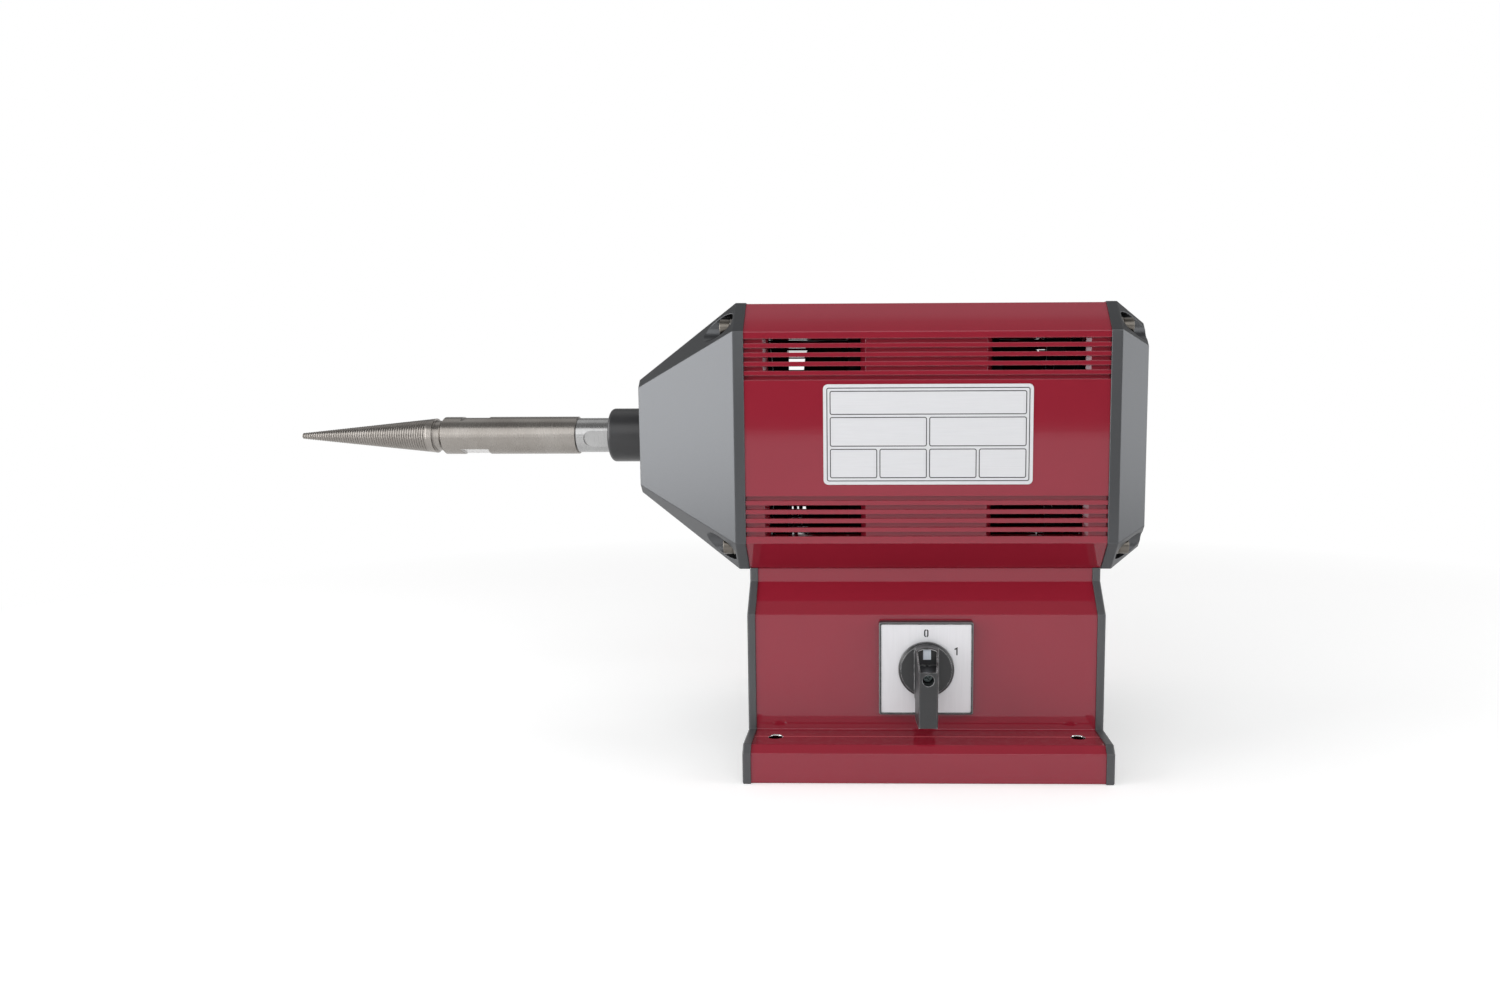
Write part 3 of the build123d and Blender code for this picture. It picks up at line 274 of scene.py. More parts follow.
def carried_profile(name, path, across, up, profile, closed):
    """A profile carried along a path: point = path + profile[0] * across + profile[1] * up, with end caps
    if it is open."""
    points = (path[:, None, :] + profile[None, :, :1] * across[:, None, :]
              + profile[None, :, 1:] * up[:, None, :])
    rows, columns = points.shape[:2]
    faces = grid_faces(rows, columns, closed, True).tolist()
    if not closed:
        faces.append(list(range(columns))[::-1])
        faces.append([(rows - 1) * columns + column for column in range(columns)])
    return mesh_piece(name, points.reshape(-1, 3), faces, smooth=False)


def outward(piece):
    """Turns every face of a closed piece outwards."""
    shell = bmesh.new()
    shell.from_mesh(piece.data)
    bmesh.ops.recalc_face_normals(shell, faces=shell.faces)
    shell.to_mesh(piece.data)
    shell.free()
    return piece


def joined(name, pieces):
    """Several pieces made into one."""
    bpy.ops.object.select_all(action="DESELECT")
    for piece in pieces:
        piece.select_set(True)
    bpy.context.view_layer.objects.active = pieces[0]
    bpy.ops.object.join()
    pieces[0].name = name
    pieces[0].data.name = name
    return pieces[0]


# Node trees

class Wiring:
    """A node tree that is being wired: new nodes take values or other nodes' outputs by socket name."""

    def __init__(self, tree):
        self.tree = tree

    def add(self, kind, inputs=None, **settings):
        """A new node with its settings, and its inputs by socket name."""
        node = self.tree.nodes.new("ShaderNode" + kind)
        for name, value in settings.items():
            setattr(node, name, value)
        for name, value in (inputs or {}).items():
            self.join(value, node.inputs[name])
        return node

    def join(self, value, socket):
        """Links an output to a socket, or sets a plain value on it."""
        if isinstance(value, bpy.types.NodeSocket):
            self.tree.links.new(value, socket)
        else:
            socket.default_value = value

    def sum(self, operation, first, second=0.0, third=0.0, clamp=False):
        """One step of arithmetic."""
        node = self.add("Math", operation=operation, use_clamp=clamp)
        for value, socket in zip((first, second, third), node.inputs):
            self.join(value, socket)
        return node.outputs[0]

    def mix(self, share, first, second):
        """A colour between two colours, on the Mix node's colour sockets: inputs 6 and 7, output 2."""
        node = self.add("Mix", data_type="RGBA")
        for value, index in ((share, 0), (first, 6), (second, 7)):
            self.join(value, node.inputs[index])
        return node.outputs[2]

    def between(self, value, low, high, start=0.0, end=1.0):
        """A value rescaled from one range to another and held inside it."""
        inputs = {"Value": value, "From Min": low, "From Max": high, "To Min": start, "To Max": end}
        return self.add("MapRange", inputs).outputs["Result"]

    def noise(self, place, scale, detail):
        """Noise over a place, from 0 to 1."""
        return self.add("TexNoise", {"Vector": place, "Scale": scale, "Detail": detail}).outputs["Fac"]

    def group(self, tree, **values):
        """A node group placed here with its own values; an underscore stands for a space."""
        node = self.tree.nodes.new("ShaderNodeGroup")
        node.node_tree = tree
        for name, value in values.items():
            self.join(value, node.inputs[name.replace("_", " ")])
        return node.outputs


def new_group(name, inputs, outputs):
    """An empty node group with named sockets, and the wiring of its inside."""
    tree = bpy.data.node_groups.new(name, "ShaderNodeTree")
    for socket, kind in inputs.items():
        tree.interface.new_socket(socket, in_out="INPUT", socket_type="NodeSocket" + kind)
    for socket, kind in outputs.items():
        tree.interface.new_socket(socket, in_out="OUTPUT", socket_type="NodeSocket" + kind)
    given = tree.nodes.new("NodeGroupInput").outputs
    asked = tree.nodes.new("NodeGroupOutput").inputs
    return tree, Wiring(tree), given, asked


def soft_edges_group():
    """Normals that round off sharp edges, and a patchy mask of edges where the finish has rubbed thin,
    which some finishes also use to paint a pale highlight along their edges.
    """
    tree, w, given, asked = new_group(
        "soft_edges", {"Radius": "Float", "Patch Scale": "Float"}, {"Normal": "Vector", "Rub And Sheen": "Float"})
    bevel = w.add("Bevel", {"Radius": given["Radius"]}, samples=6).outputs["Normal"]
    facing = w.add("NewGeometry").outputs["Normal"]
    along = w.add("VectorMath", operation="DOT_PRODUCT")
    w.join(bevel, along.inputs[0])
    w.join(facing, along.inputs[1])
    turned = w.between(along.outputs["Value"], *edge_cosines)
    place = w.add("TexCoord").outputs["Object"]
    patch = w.noise(place, given["Patch Scale"], 4.0)
    w.join(bevel, asked["Normal"])
    w.join(w.sum("MULTIPLY", turned, w.between(patch, *edge_patches)), asked["Rub And Sheen"])
    return tree


def fine_grain_group():
    """A fine even height for sprayed or moulded skins, and a wide slow mottle."""
    tree, w, given, asked = new_group(
        "fine_grain", {"Grain Scale": "Float", "Mottle Scale": "Float"},
        {"Height": "Float", "Mottle": "Float"})
    place = w.add("TexCoord").outputs["Object"]
    slow = w.noise(place, given["Mottle Scale"], 5.0)
    w.join(w.noise(place, given["Grain Scale"], 2.0), asked["Height"])
    w.join(w.between(slow, *noise_middle), asked["Mottle"])
    return tree


def drawn_lines_group():
    """Long fine scratches: noise squeezed along the axes by the Stretch vector."""
    tree, w, given, asked = new_group(
        "drawn_lines", {"Stretch": "Vector", "Detail": "Float"}, {"Height": "Float"})
    place = w.add("TexCoord").outputs["Object"]
    pulled = w.add("VectorMath", operation="MULTIPLY")
    w.join(place, pulled.inputs[0])
    w.join(given["Stretch"], pulled.inputs[1])
    w.join(w.noise(pulled.outputs["Vector"], 1.0, given["Detail"]), asked["Height"])
    return tree


def settled_dust_group():
    """A mask of fine dust on faces that look up."""
    tree, w, given, asked = new_group("settled_dust", {"Speck Scale": "Float"}, {"Dust": "Float"})
    facing = w.add("SeparateXYZ", {"Vector": w.add("NewGeometry").outputs["Normal"]}).outputs["Z"]
    place = w.add("TexCoord").outputs["Object"]
    speck = w.noise(place, given["Speck Scale"], 6.0)
    level = w.between(facing, *dusty_slopes)
    w.join(w.sum("MULTIPLY", level, w.between(speck, *dusty_specks)), asked["Dust"])
    return tree


def drilled_rims_group():
    """Masks of bare metal round the four bench holes, which lie alike at plus and minus X and Y near the
    floor, and of the drill lines that run through them along X."""
    inputs = {"Hole X": "Float", "Hole Y": "Float", "Rim Radius": "Float", "Line Half": "Float"}
    tree, w, given, asked = new_group("drilled_rims", inputs, {"Bare": "Float", "Line": "Float"})
    place = w.add("SeparateXYZ", {"Vector": w.add("TexCoord").outputs["Object"]}).outputs
    off_x = w.sum("SUBTRACT", w.sum("ABSOLUTE", place["X"]), given["Hole X"])
    off_y = w.sum("SUBTRACT", w.sum("ABSOLUTE", place["Y"]), given["Hole Y"])
    squares = w.sum("ADD", w.sum("MULTIPLY", off_x, off_x), w.sum("MULTIPLY", off_y, off_y))
    inside = w.sum("LESS_THAN", w.sum("SQRT", squares), given["Rim Radius"])
    low = w.sum("LESS_THAN", place["Z"], ledge_top)
    on_line = w.sum("LESS_THAN", w.sum("ABSOLUTE", off_y), given["Line Half"])
    w.join(w.sum("MULTIPLY", inside, low), asked["Bare"])
    w.join(w.sum("MULTIPLY", on_line, low), asked["Line"])
    return tree


def rim_highlights_group():
    """A mask for a painted highlight on edges that are round in the solid: Gain * f * (1 - f), f the
    normal's
    Y part squared.
    """
    tree, w, given, asked = new_group("rim_highlights", {"Gain": "Float"}, {"Rim": "Float"})
    facing = w.add("SeparateXYZ", {"Vector": w.add("NewGeometry").outputs["Normal"]}).outputs["Y"]
    front = w.sum("MULTIPLY", facing, facing)
    both = w.sum("MULTIPLY", front, w.sum("SUBTRACT", 1.0, front))
    w.join(w.sum("MULTIPLY", both, given["Gain"], clamp=True), asked["Rim"])
    return tree


soft_edges = soft_edges_group()
fine_grain = fine_grain_group()
drawn_lines = drawn_lines_group()
settled_dust = settled_dust_group()
drilled_rims = drilled_rims_group()
rim_highlights = rim_highlights_group()


# Finishes

def finish(name, **values):
    """A new material with a Principled shader whose plain values are set on its own sockets."""
    material = bpy.data.materials.new(name)
    material.use_nodes = True
    w = Wiring(material.node_tree)
    shader = material.node_tree.nodes["Principled BSDF"]
    for socket, value in values.items():
        shader.inputs[socket.replace("_", " ")].default_value = value
    return material, w, shader


def bumped(w, shader, height, normal, strength, depth):
    """A bump from a height over a given normal."""
    bump = w.add("Bump", {"Height": height, "Normal": normal, "Strength": strength, "Distance": depth})
    w.join(bump.outputs["Normal"], shader.inputs["Normal"])


def toned(tone, share):
    """A tone times a share, as a solid colour."""
    return (*(share * value for value in tone), 1)


def red_coat():
    """Glossy deep red on an aluminium extrusion, with faint drawn lines in its gloss, thin worn edges
    lightened further as a painted edge highlight, and bare rims where the bench holes were drilled."""
    material, w, shader = finish("red_coat", IOR=1.57, Specular_Tint=(0.85, 0.93, 1.0, 1))
    edges = w.group(soft_edges, Radius=0.5 * mm, Patch_Scale=160.0)
    grain = w.group(fine_grain, Grain_Scale=900.0, Mottle_Scale=14.0)
    lines = w.group(drawn_lines, Stretch=(6.0, 900.0, 900.0), Detail=3.0)
    dust = w.group(settled_dust, Speck_Scale=260.0)
    red = w.mix(grain["Mottle"], deep_red, light_red)
    # Edges go pale pink: partly wear, partly a painted highlight along the edges
    red = w.mix(w.sum("MULTIPLY", edges["Rub And Sheen"], 0.5), red, worn_sheen_red)
    red = w.mix(w.sum("MULTIPLY", dust["Dust"], 0.03), red, dusty_red)
    drilled = w.group(drilled_rims, Hole_X=bolt_hole_x, Hole_Y=bolt_hole_y, Line_Half=drill_line_half,
                      Rim_Radius=bolt_hole_radius + bare_rim)
    red = w.mix(drilled["Line"], red, drilled_red)
    red = w.mix(drilled["Bare"], red, bare_metal)
    w.join(red, shader.inputs["Base Color"])
    w.join(drilled["Bare"], shader.inputs["Metallic"])
    roughness = w.between(lines["Height"], *noise_middle, start=0.045, end=0.075)
    w.join(roughness, shader.inputs["Roughness"])
    skin = w.sum("ADD", grain["Height"], w.sum("MULTIPLY", lines["Height"], 2.0))
    bumped(w, shader, skin, edges["Normal"], strength=0.03, depth=0.02 * mm)
    return material


def graphite_coat():
    """Dark metallic spray on castings, with a fine leathery grain and rubbed edges."""
    material, w, shader = finish("graphite_coat", Metallic=0.9)
    edges = w.group(soft_edges, Radius=0.7 * mm, Patch_Scale=120.0)
    grain = w.group(fine_grain, Grain_Scale=1700.0, Mottle_Scale=9.0)
    flake = w.add("TexVoronoi", {"Vector": w.add("TexCoord").outputs["Object"], "Scale": 4200.0})
    grey = w.mix(grain["Mottle"], deep_graphite, light_graphite)
    grey = w.mix(w.between(flake.outputs["Distance"], *flake_sizes, end=0.08), grey, worn_graphite)
    grey = w.mix(w.sum("MULTIPLY", edges["Rub And Sheen"], 0.4), grey, worn_graphite)
    w.join(grey, shader.inputs["Base Color"])
    roughness = w.between(grain["Mottle"], 0.0, 1.0, start=0.31, end=0.37)
    w.join(roughness, shader.inputs["Roughness"])
    bumped(w, shader, grain["Height"], edges["Normal"], strength=0.12, depth=0.03 * mm)
    return material


def moulded_plastic(name, dark, light, worn, rough, radius, grain_scale, rim_highlight_gain=0.0):
    """Moulded plastic with a fine spark grain, slight mottle and edges rubbed to a given edge tone, which is
    wear on most plastics and a painted highlight where it is pale; a rim gain paints round solid edges in
    that tone as well."""
    material, w, shader = finish(name, IOR=1.5)
    edges = w.group(soft_edges, Radius=radius, Patch_Scale=300.0)
    grain = w.group(fine_grain, Grain_Scale=grain_scale, Mottle_Scale=40.0)
    tone = w.mix(grain["Mottle"], (*dark, 1), (*light, 1))
    # The edge tone is wear on the darker plastics and a painted edge highlight where it is pale, as on the
    # knob and bezel
    tone = w.mix(w.sum("MULTIPLY", edges["Rub And Sheen"], 0.8), tone, (*worn, 1))
    if rim_highlight_gain:
        # Round rims painted in the pale edge tone: a painted highlight
        tone = w.mix(w.group(rim_highlights, Gain=rim_highlight_gain)["Rim"], tone, (*worn, 1))
    w.join(tone, shader.inputs["Base Color"])
    roughness = w.between(grain["Mottle"], 0.0, 1.0, start=rough - 0.05, end=rough + 0.06)
    w.join(roughness, shader.inputs["Roughness"])
    bumped(w, shader, grain["Height"], edges["Normal"], strength=0.16, depth=0.03 * mm)
    return material


def turned_steel(name, dark, light, rough):
    """Turned steel: fine rings round the shaft, a dull mottle, dirt and painted shade in thread roots and
    bright ground flats.

    The roots and flats come from the piece's own attributes, which are zero on pieces that have none.
    """
    material, w, shader = finish(name, Metallic=1.0)
    edges = w.group(soft_edges, Radius=0.25 * mm, Patch_Scale=420.0)
    grain = w.group(fine_grain, Grain_Scale=2600.0, Mottle_Scale=55.0)
    rings = w.group(drawn_lines, Stretch=(2600.0, 40.0, 40.0), Detail=5.0)
    root = w.add("Attribute", attribute_name="thread_root").outputs["Fac"]
    ground = w.add("Attribute", attribute_name="ground_flat").outputs["Fac"]
    tone = w.mix(grain["Mottle"], (*dark, 1), (*light, 1))
    tone = w.mix(w.between(rings["Height"], *ring_marks, end=0.08), tone, toned(dark, share=0.75))
    tone = w.mix(w.sum("MULTIPLY", edges["Rub And Sheen"], 0.5), tone, worn_steel)
    # Thread roots darkened towards brown: dirt in the roots and painted shade in the hollows
    tone = w.mix(w.sum("MULTIPLY", root, 0.35), tone, root_dirt_and_shade)
    tone = w.mix(ground, tone, bright_flat)
    w.join(tone, shader.inputs["Base Color"])
    roughness = w.between(rings["Height"], *noise_middle, start=rough - 0.03, end=rough + 0.05)
    w.join(roughness, shader.inputs["Roughness"])
    bumped(w, shader, rings["Height"], edges["Normal"], strength=0.03, depth=0.02 * mm)
    return material


def plate_metal(name, tone, rough, stretch):
    """Satin silver sheet with a brushed grain."""
    material, w, shader = finish(name, Metallic=0.2)
    edges = w.group(soft_edges, Radius=0.15 * mm, Patch_Scale=200.0)
    lines = w.group(drawn_lines, Stretch=stretch, Detail=4.0)
    grain = w.group(fine_grain, Grain_Scale=1500.0, Mottle_Scale=22.0)
    dull = toned(tone, share=0.96)
    colour = w.mix(w.between(lines["Height"], *noise_middle), (*tone, 1), dull)
    colour = w.mix(w.sum("MULTIPLY", grain["Mottle"], 0.15), colour, dull)
    w.join(colour, shader.inputs["Base Color"])
    roughness = w.between(lines["Height"], *noise_middle, start=rough - 0.06, end=rough + 0.06)
    w.join(roughness, shader.inputs["Roughness"])
    bumped(w, shader, lines["Height"], edges["Normal"], strength=0.05, depth=0.02 * mm)
    return material


def dull_metal(name, dark, light, rough, radius, grain_scale):
    """Plain metal with an uneven dull surface, for screws, castings, laminations and wire."""
    material, w, shader = finish(name, Metallic=1.0)
    edges = w.group(soft_edges, Radius=radius, Patch_Scale=350.0)
    grain = w.group(fine_grain, Grain_Scale=grain_scale, Mottle_Scale=120.0)
    tone = w.mix(grain["Mottle"], (*dark, 1), (*light, 1))
    tone = w.mix(w.sum("MULTIPLY", edges["Rub And Sheen"], 0.6), tone, toned(light, share=1.7))
    w.join(tone, shader.inputs["Base Color"])
    roughness = w.between(grain["Mottle"], 0.0, 1.0, start=rough - 0.05, end=rough + 0.08)
    w.join(roughness, shader.inputs["Roughness"])
    bumped(w, shader, grain["Height"], edges["Normal"], strength=0.1, depth=0.02 * mm)
    return material


def soft_felt():
    """Grey rubber and felt with a matt fibrous surface."""
    material, w, shader = finish("soft_rubber", Roughness=0.85)
    grain = w.group(fine_grain, Grain_Scale=2200.0, Mottle_Scale=70.0)
    w.join(w.mix(grain["Mottle"], deep_felt, light_felt), shader.inputs["Base Color"])
    facing = w.add("NewGeometry").outputs["Normal"]
    bumped(w, shader, grain["Height"], facing, strength=0.4, depth=0.1 * mm)
    return material


def print_ink():
    """Flat dark printing ink with a slightly uneven density."""
    material, w, shader = finish("print_ink", Roughness=0.5)
    grain = w.group(fine_grain, Grain_Scale=2500.0, Mottle_Scale=300.0)
    w.join(w.mix(grain["Mottle"], deep_ink, light_ink), shader.inputs["Base Color"])
    facing = w.add("NewGeometry").outputs["Normal"]
    bumped(w, shader, grain["Height"], facing, strength=0.05, depth=0.01 * mm)
    return material


cap_coat = graphite_coat()
plate_plastic = moulded_plastic(
    "end_plate_skin", (0.056, 0.058, 0.061), (0.07, 0.072, 0.076), (0.12, 0.122, 0.126),
    rough=0.42, radius=0.8 * mm, grain_scale=1500.0)
collar_plastic = moulded_plastic(
    "collar_skin", (0.017, 0.017, 0.018), (0.023, 0.023, 0.025), (0.08, 0.08, 0.082),
    rough=0.3, radius=0.5 * mm, grain_scale=1100.0)
# Knob: its pale edge tone paints highlights along its edges
knob_plastic = moulded_plastic(
    "knob_skin", (0.02, 0.021, 0.022), (0.03, 0.031, 0.033), (0.6, 0.6, 0.61),
    rough=0.38, radius=0.75 * mm, grain_scale=2400.0)
# Bezel: its pale edge tone and rim gain paint highlights on its edges and round rims
bezel_plastic = moulded_plastic(
    "bezel_skin", (0.026, 0.028, 0.03), (0.04, 0.042, 0.044), (0.6, 0.605, 0.615),
    rough=0.38, radius=0.6 * mm, grain_scale=2400.0, rim_highlight_gain=1.0)
black_plastic = moulded_plastic(
    "black_skin", (0.015, 0.015, 0.016), (0.024, 0.024, 0.025), (0.09, 0.09, 0.092),
    rough=0.45, radius=0.4 * mm, grain_scale=1800.0)
grey_plastic = moulded_plastic(
    "grey_skin", (0.2, 0.2, 0.2), (0.26, 0.26, 0.26), (0.28, 0.28, 0.28),
    rough=0.45, radius=0.4 * mm, grain_scale=1800.0)
white_plastic = moulded_plastic(
    "white_skin", (0.7, 0.76, 0.84), (0.78, 0.84, 0.92), (0.8, 0.85, 0.92),
    rough=0.4, radius=0.1 * mm, grain_scale=1800.0)
nylon_skin = moulded_plastic(
    "nylon_skin", (0.5, 0.48, 0.42), (0.6, 0.57, 0.5), (0.62, 0.6, 0.54),
    rough=0.5, radius=0.3 * mm, grain_scale=1800.0)
spindle_steel = turned_steel("spindle_steel", (0.275, 0.255, 0.235), (0.335, 0.315, 0.295), 0.28)
shaft_steel = turned_steel("shaft_steel", (0.38, 0.38, 0.38), (0.45, 0.45, 0.45), 0.24)
foil_metal = plate_metal("foil_plate", (0.68, 0.685, 0.705), 0.42, (60.0, 1500.0, 1500.0))
legend_metal = plate_metal("legend_metal", (0.75, 0.75, 0.775), 0.45, (1500.0, 1500.0, 60.0))
screw_steel = dull_metal(
    "screw_steel", (0.36, 0.33, 0.29), (0.47, 0.43, 0.38),
    rough=0.3, radius=0.3 * mm, grain_scale=1800.0)
# The cap screws' steel is the plate screws' steel dimmed to about a third, painted shade for the pockets the
# heads sit in; its wide edge mask paints a pale highlight on the heads' edges
shaded_cap_screw_steel = dull_metal(
    "shaded_cap_screw_steel", (0.13, 0.119, 0.105), (0.17, 0.156, 0.138),
    rough=0.3, radius=0.8 * mm, grain_scale=1800.0)
blued_steel = dull_metal(
    "blued_steel", (0.12, 0.15, 0.15), (0.2, 0.24, 0.24),
    rough=0.35, radius=0.3 * mm, grain_scale=1800.0)
spring_steel = dull_metal(
    "spring_steel", (0.2, 0.19, 0.18), (0.28, 0.27, 0.25),
    rough=0.38, radius=0.3 * mm, grain_scale=1800.0)
core_steel = dull_metal(
    "core_steel", (0.07, 0.07, 0.07), (0.11, 0.11, 0.11),
    rough=0.55, radius=0.3 * mm, grain_scale=900.0)
cast_metal = dull_metal(
    "cast_metal", (0.4, 0.4, 0.41), (0.5, 0.5, 0.51),
    rough=0.5, radius=0.3 * mm, grain_scale=700.0)
copper_wire = dull_metal(
    "copper_wire", (0.2, 0.075, 0.03), (0.3, 0.12, 0.05),
    rough=0.4, radius=0.3 * mm, grain_scale=1400.0)
rubber_felt = soft_felt()
ink = print_ink()

finishes = {
    "red_coat": red_coat(),
    "graphite_coat": cap_coat,
    "grey_plastic": grey_plastic,
    "black_plastic": black_plastic,
    "foil_plate": foil_metal,
    "white_plastic": white_plastic,
    "spindle_steel": spindle_steel,
    "ground_steel": shaft_steel,
    "spring_steel": spring_steel,
    "zinc_steel": screw_steel,
    "electrical_steel": core_steel,
    "cast_aluminium": cast_metal,
    "copper": copper_wire,
    "soft_rubber": rubber_felt,
    "nylon": nylon_skin,
}
own_finishes = {
    "left_base_plate": plate_plastic,
    "right_base_plate": plate_plastic,
    "shaft_collar": collar_plastic,
    "switch_knob": knob_plastic,
    "switch_bezel": bezel_plastic,
    "legend_plate": legend_metal,
    "switch_cam": black_plastic,
    "drive_cap_screws": shaded_cap_screw_steel,
    "rear_cap_screws": shaded_cap_screw_steel,
}


def coat(piece, material):
    """Gives a piece one finish all over."""
    slots = piece.material_slots
    if not slots:
        piece.data.materials.append(material)
    for slot in slots:
        slot.material = material


def coat_nodes():
    """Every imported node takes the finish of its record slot, or its own where it has one."""
    for row in frame["record"]["subparts"]:
        node = row["node"]
        coat(frame["nodes"][node], own_finishes.get(node, finishes[row["material_slot"]]))


# Taper spindle

def mark(piece, name, values):
    """Keeps one number per grid point on the piece, with zero at the two poles."""
    field = piece.data.attributes.new(name, "FLOAT", "POINT")
    field.data.foreach_set("value", np.append(values.astype(np.float32).ravel(), [0, 0]).astype(np.float32))


def thread_wave(phase):
    """A worn thread across one pitch: a rounded crest at phase 0 and a sharper root at phase one half."""
    wave = 0.5 + 0.5 * np.cos(2 * np.pi * phase)
    return wave ** thread_wear


def flat_radius(x, turn, start, end):
    """Distance to two opposite milled flats: (radius - depth) / |cos| of the turn from the flat, at x
    between start and end, and the plain sleeve elsewhere."""
    least_cosine = 1e-6
    away = np.cos(turn - math.radians(90 + flat_turn))
    across = (sleeve_radius - flat_depth) / np.maximum(np.abs(away), least_cosine)
    inside = ((x > start) & (x < end))[:, None]
    return np.where(inside, np.minimum(sleeve_radius, across[None, :]), sleeve_radius)


def taper_spindle():
    """Radius over (x, turn): a cone whose crest is cut by a left-hand helix of one thread, phase = x / pitch
    + turn / full turn, up to a plain ring; then a neck, a sleeve with two flats, and the socket that takes
    the shaft's stub."""
    tip = spindle_low.x
    neck = tip + taper_length
    sleeve = neck + neck_length
    back = sleeve + sleeve_length
    turn = np.linspace(0, 2 * np.pi, spindle_columns, endpoint=False)
    steps = int(taper_length / thread_pitch) * thread_steps
    x = np.linspace(tip, neck, steps)
    crest = taper_tip_radius + (taper_large_radius - taper_tip_radius) * (x - tip) / taper_length
    phase = x[:, None] / thread_pitch + turn[None, :] / (2 * np.pi)
    fade_in = np.clip((x - tip) / thread_pitch, 0, 1)
    fade_out = np.clip((neck - thread_runout - x) / (thread_fade_share * thread_pitch), 0, 1)
    fade = fade_in * fade_out
    cut = np.minimum(thread_depth, thread_depth_share * crest) * fade
    thread = crest[:, None] - cut[:, None] * (1 - thread_wave(phase))
    rounding = np.linspace(0, np.pi / 2, nose_steps)[1:-1]
    nose_x = tip + taper_tip_radius * nose_share * (1 - np.cos(rounding))
    nose = taper_tip_radius * np.sin(rounding)
    keep = x > nose_x[-1]
    flat_low = sleeve + flat_start
    flat_high = flat_low + flat_length
    plain_x = np.array([neck, neck + neck_edge, sleeve - neck_edge, sleeve, sleeve + sleeve_edge,
                        sleeve + sleeve_lead, flat_low - step_gap, flat_low + step_gap])
    plain = np.array([neck_radius + neck_edge, neck_radius, neck_radius, neck_radius + neck_edge,
                      sleeve_radius, sleeve_radius, sleeve_radius, sleeve_radius])
    flats_x = np.linspace(flat_low + step_gap, flat_high - step_gap, flat_rows)
    after_x = np.array([flat_high + step_gap, back - 2 * sleeve_back_edge, back - sleeve_back_edge, back])
    after = np.array([sleeve_radius, sleeve_radius, sleeve_radius, sleeve_radius - sleeve_back_edge])
    socket_x = np.array([back, back - stub_depth])
    socket = np.array([stub_radius, stub_radius])

    def round_rows(radii):
        return np.repeat(radii[:, None], spindle_columns, axis=1)

    places = np.concatenate([nose_x, x[keep], plain_x, flats_x, after_x, socket_x])
    radius = np.concatenate([
        round_rows(nose), thread[keep], round_rows(plain),
        flat_radius(flats_x, turn, flat_low, flat_high), round_rows(after), round_rows(socket),
    ])
    roots = (1 - thread_wave(phase)) * fade[:, None]
    root_mask = np.zeros(radius.shape)
    root_mask[len(nose):len(nose) + keep.sum()] = roots[keep]
    on_flats = (places > flat_low) & (places < flat_high)
    flat_mask = on_flats[:, None] & (radius < sleeve_radius - flat_margin)
    piece = closed_turning("threaded_spindle", places, radius, spindle_sharp_angle, (0, axis_height))
    mark(piece, "thread_root", root_mask)
    mark(piece, "ground_flat", flat_mask)
    coat(piece, spindle_steel)
    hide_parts("taper_spindle")
    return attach(piece, "rotor")


# Marks

def stroke(name, outline, closed, front, width, thickness):
    """A flat printed line on a front face: a rectangle of width by thickness carried along (x, z) points,
    with its across direction square to the line and its up direction towards -Y."""
    flat = np.array(outline, float)
    ahead = np.roll(flat, -1, axis=0) - flat
    behind = flat - np.roll(flat, 1, axis=0)
    if not closed:
        ahead[-1] = behind[-1]
        behind[0] = ahead[0]
    ahead /= np.linalg.norm(ahead, axis=1, keepdims=True)
    behind /= np.linalg.norm(behind, axis=1, keepdims=True)
    run = ahead + behind
    run /= np.linalg.norm(run, axis=1, keepdims=True)
    mitre = 1 / np.maximum(np.sum(run * ahead, axis=1), mitre_limit)
    across = np.stack([-run[:, 1] * mitre, np.zeros(len(flat)), run[:, 0] * mitre], axis=1)
    path = np.stack([flat[:, 0], np.full(len(flat), front), flat[:, 1]], axis=1)
    up = np.tile(np.array([0.0, -1.0, 0.0]), (len(flat), 1))
    half = width / 2
    profile = np.array([(-half, 0), (half, 0), (half, thickness), (-half, thickness)])
    return outward(carried_profile(name, path, across, up, profile, closed))


def rounded_outline(centre, width, height, corner, steps=corner_steps):
    """Points round a rectangle with quarter circle corners."""
    quarter = np.linspace(0, np.pi / 2, steps)
    points = []
    for index, (side_x, side_z) in enumerate(((1, 1), (-1, 1), (-1, -1), (1, -1))):
        turn = quarter + index * np.pi / 2
        x = centre[0] + side_x * (width / 2 - corner) + corner * np.cos(turn)
        z = centre[1] + side_z * (height / 2 - corner) + corner * np.sin(turn)
        points.append(np.stack([x, z], axis=1))
    return np.concatenate(points)


def printed(name, pieces):
    """Joins printed lines into one piece of ink that stays on the machine."""
    piece = joined(name, pieces)
    coat(piece, ink)
    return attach(piece, "machine")


def switch_marks():
    """A zero straight above the switch axis and a one at the other end of the knob's travel."""
    front = legend_low.y
    top = (0, switch_axis.z + zero_from_axis)
    inner_width = zero_width - mark_stroke
    inner_height = zero_height - mark_stroke
    ring = rounded_outline(top, inner_width, inner_height, inner_width / 2, zero_steps)
    zero = stroke("zero_mark", ring, True, front, mark_stroke, mark_thickness)
    angle = math.radians(one_angle)
    middle = (one_from_axis * math.sin(angle), switch_axis.z + one_from_axis * math.cos(angle))
    high = middle[1] + one_height / 2
    line = [(middle[0] - one_flag, high - one_flag * one_flag_share),
            (middle[0], high - mark_stroke * one_top_share), (middle[0], middle[1] - one_height / 2)]
    one = stroke("one_mark", line, False, front, mark_stroke, mark_thickness)
    return printed("switch_marks", [zero, one])


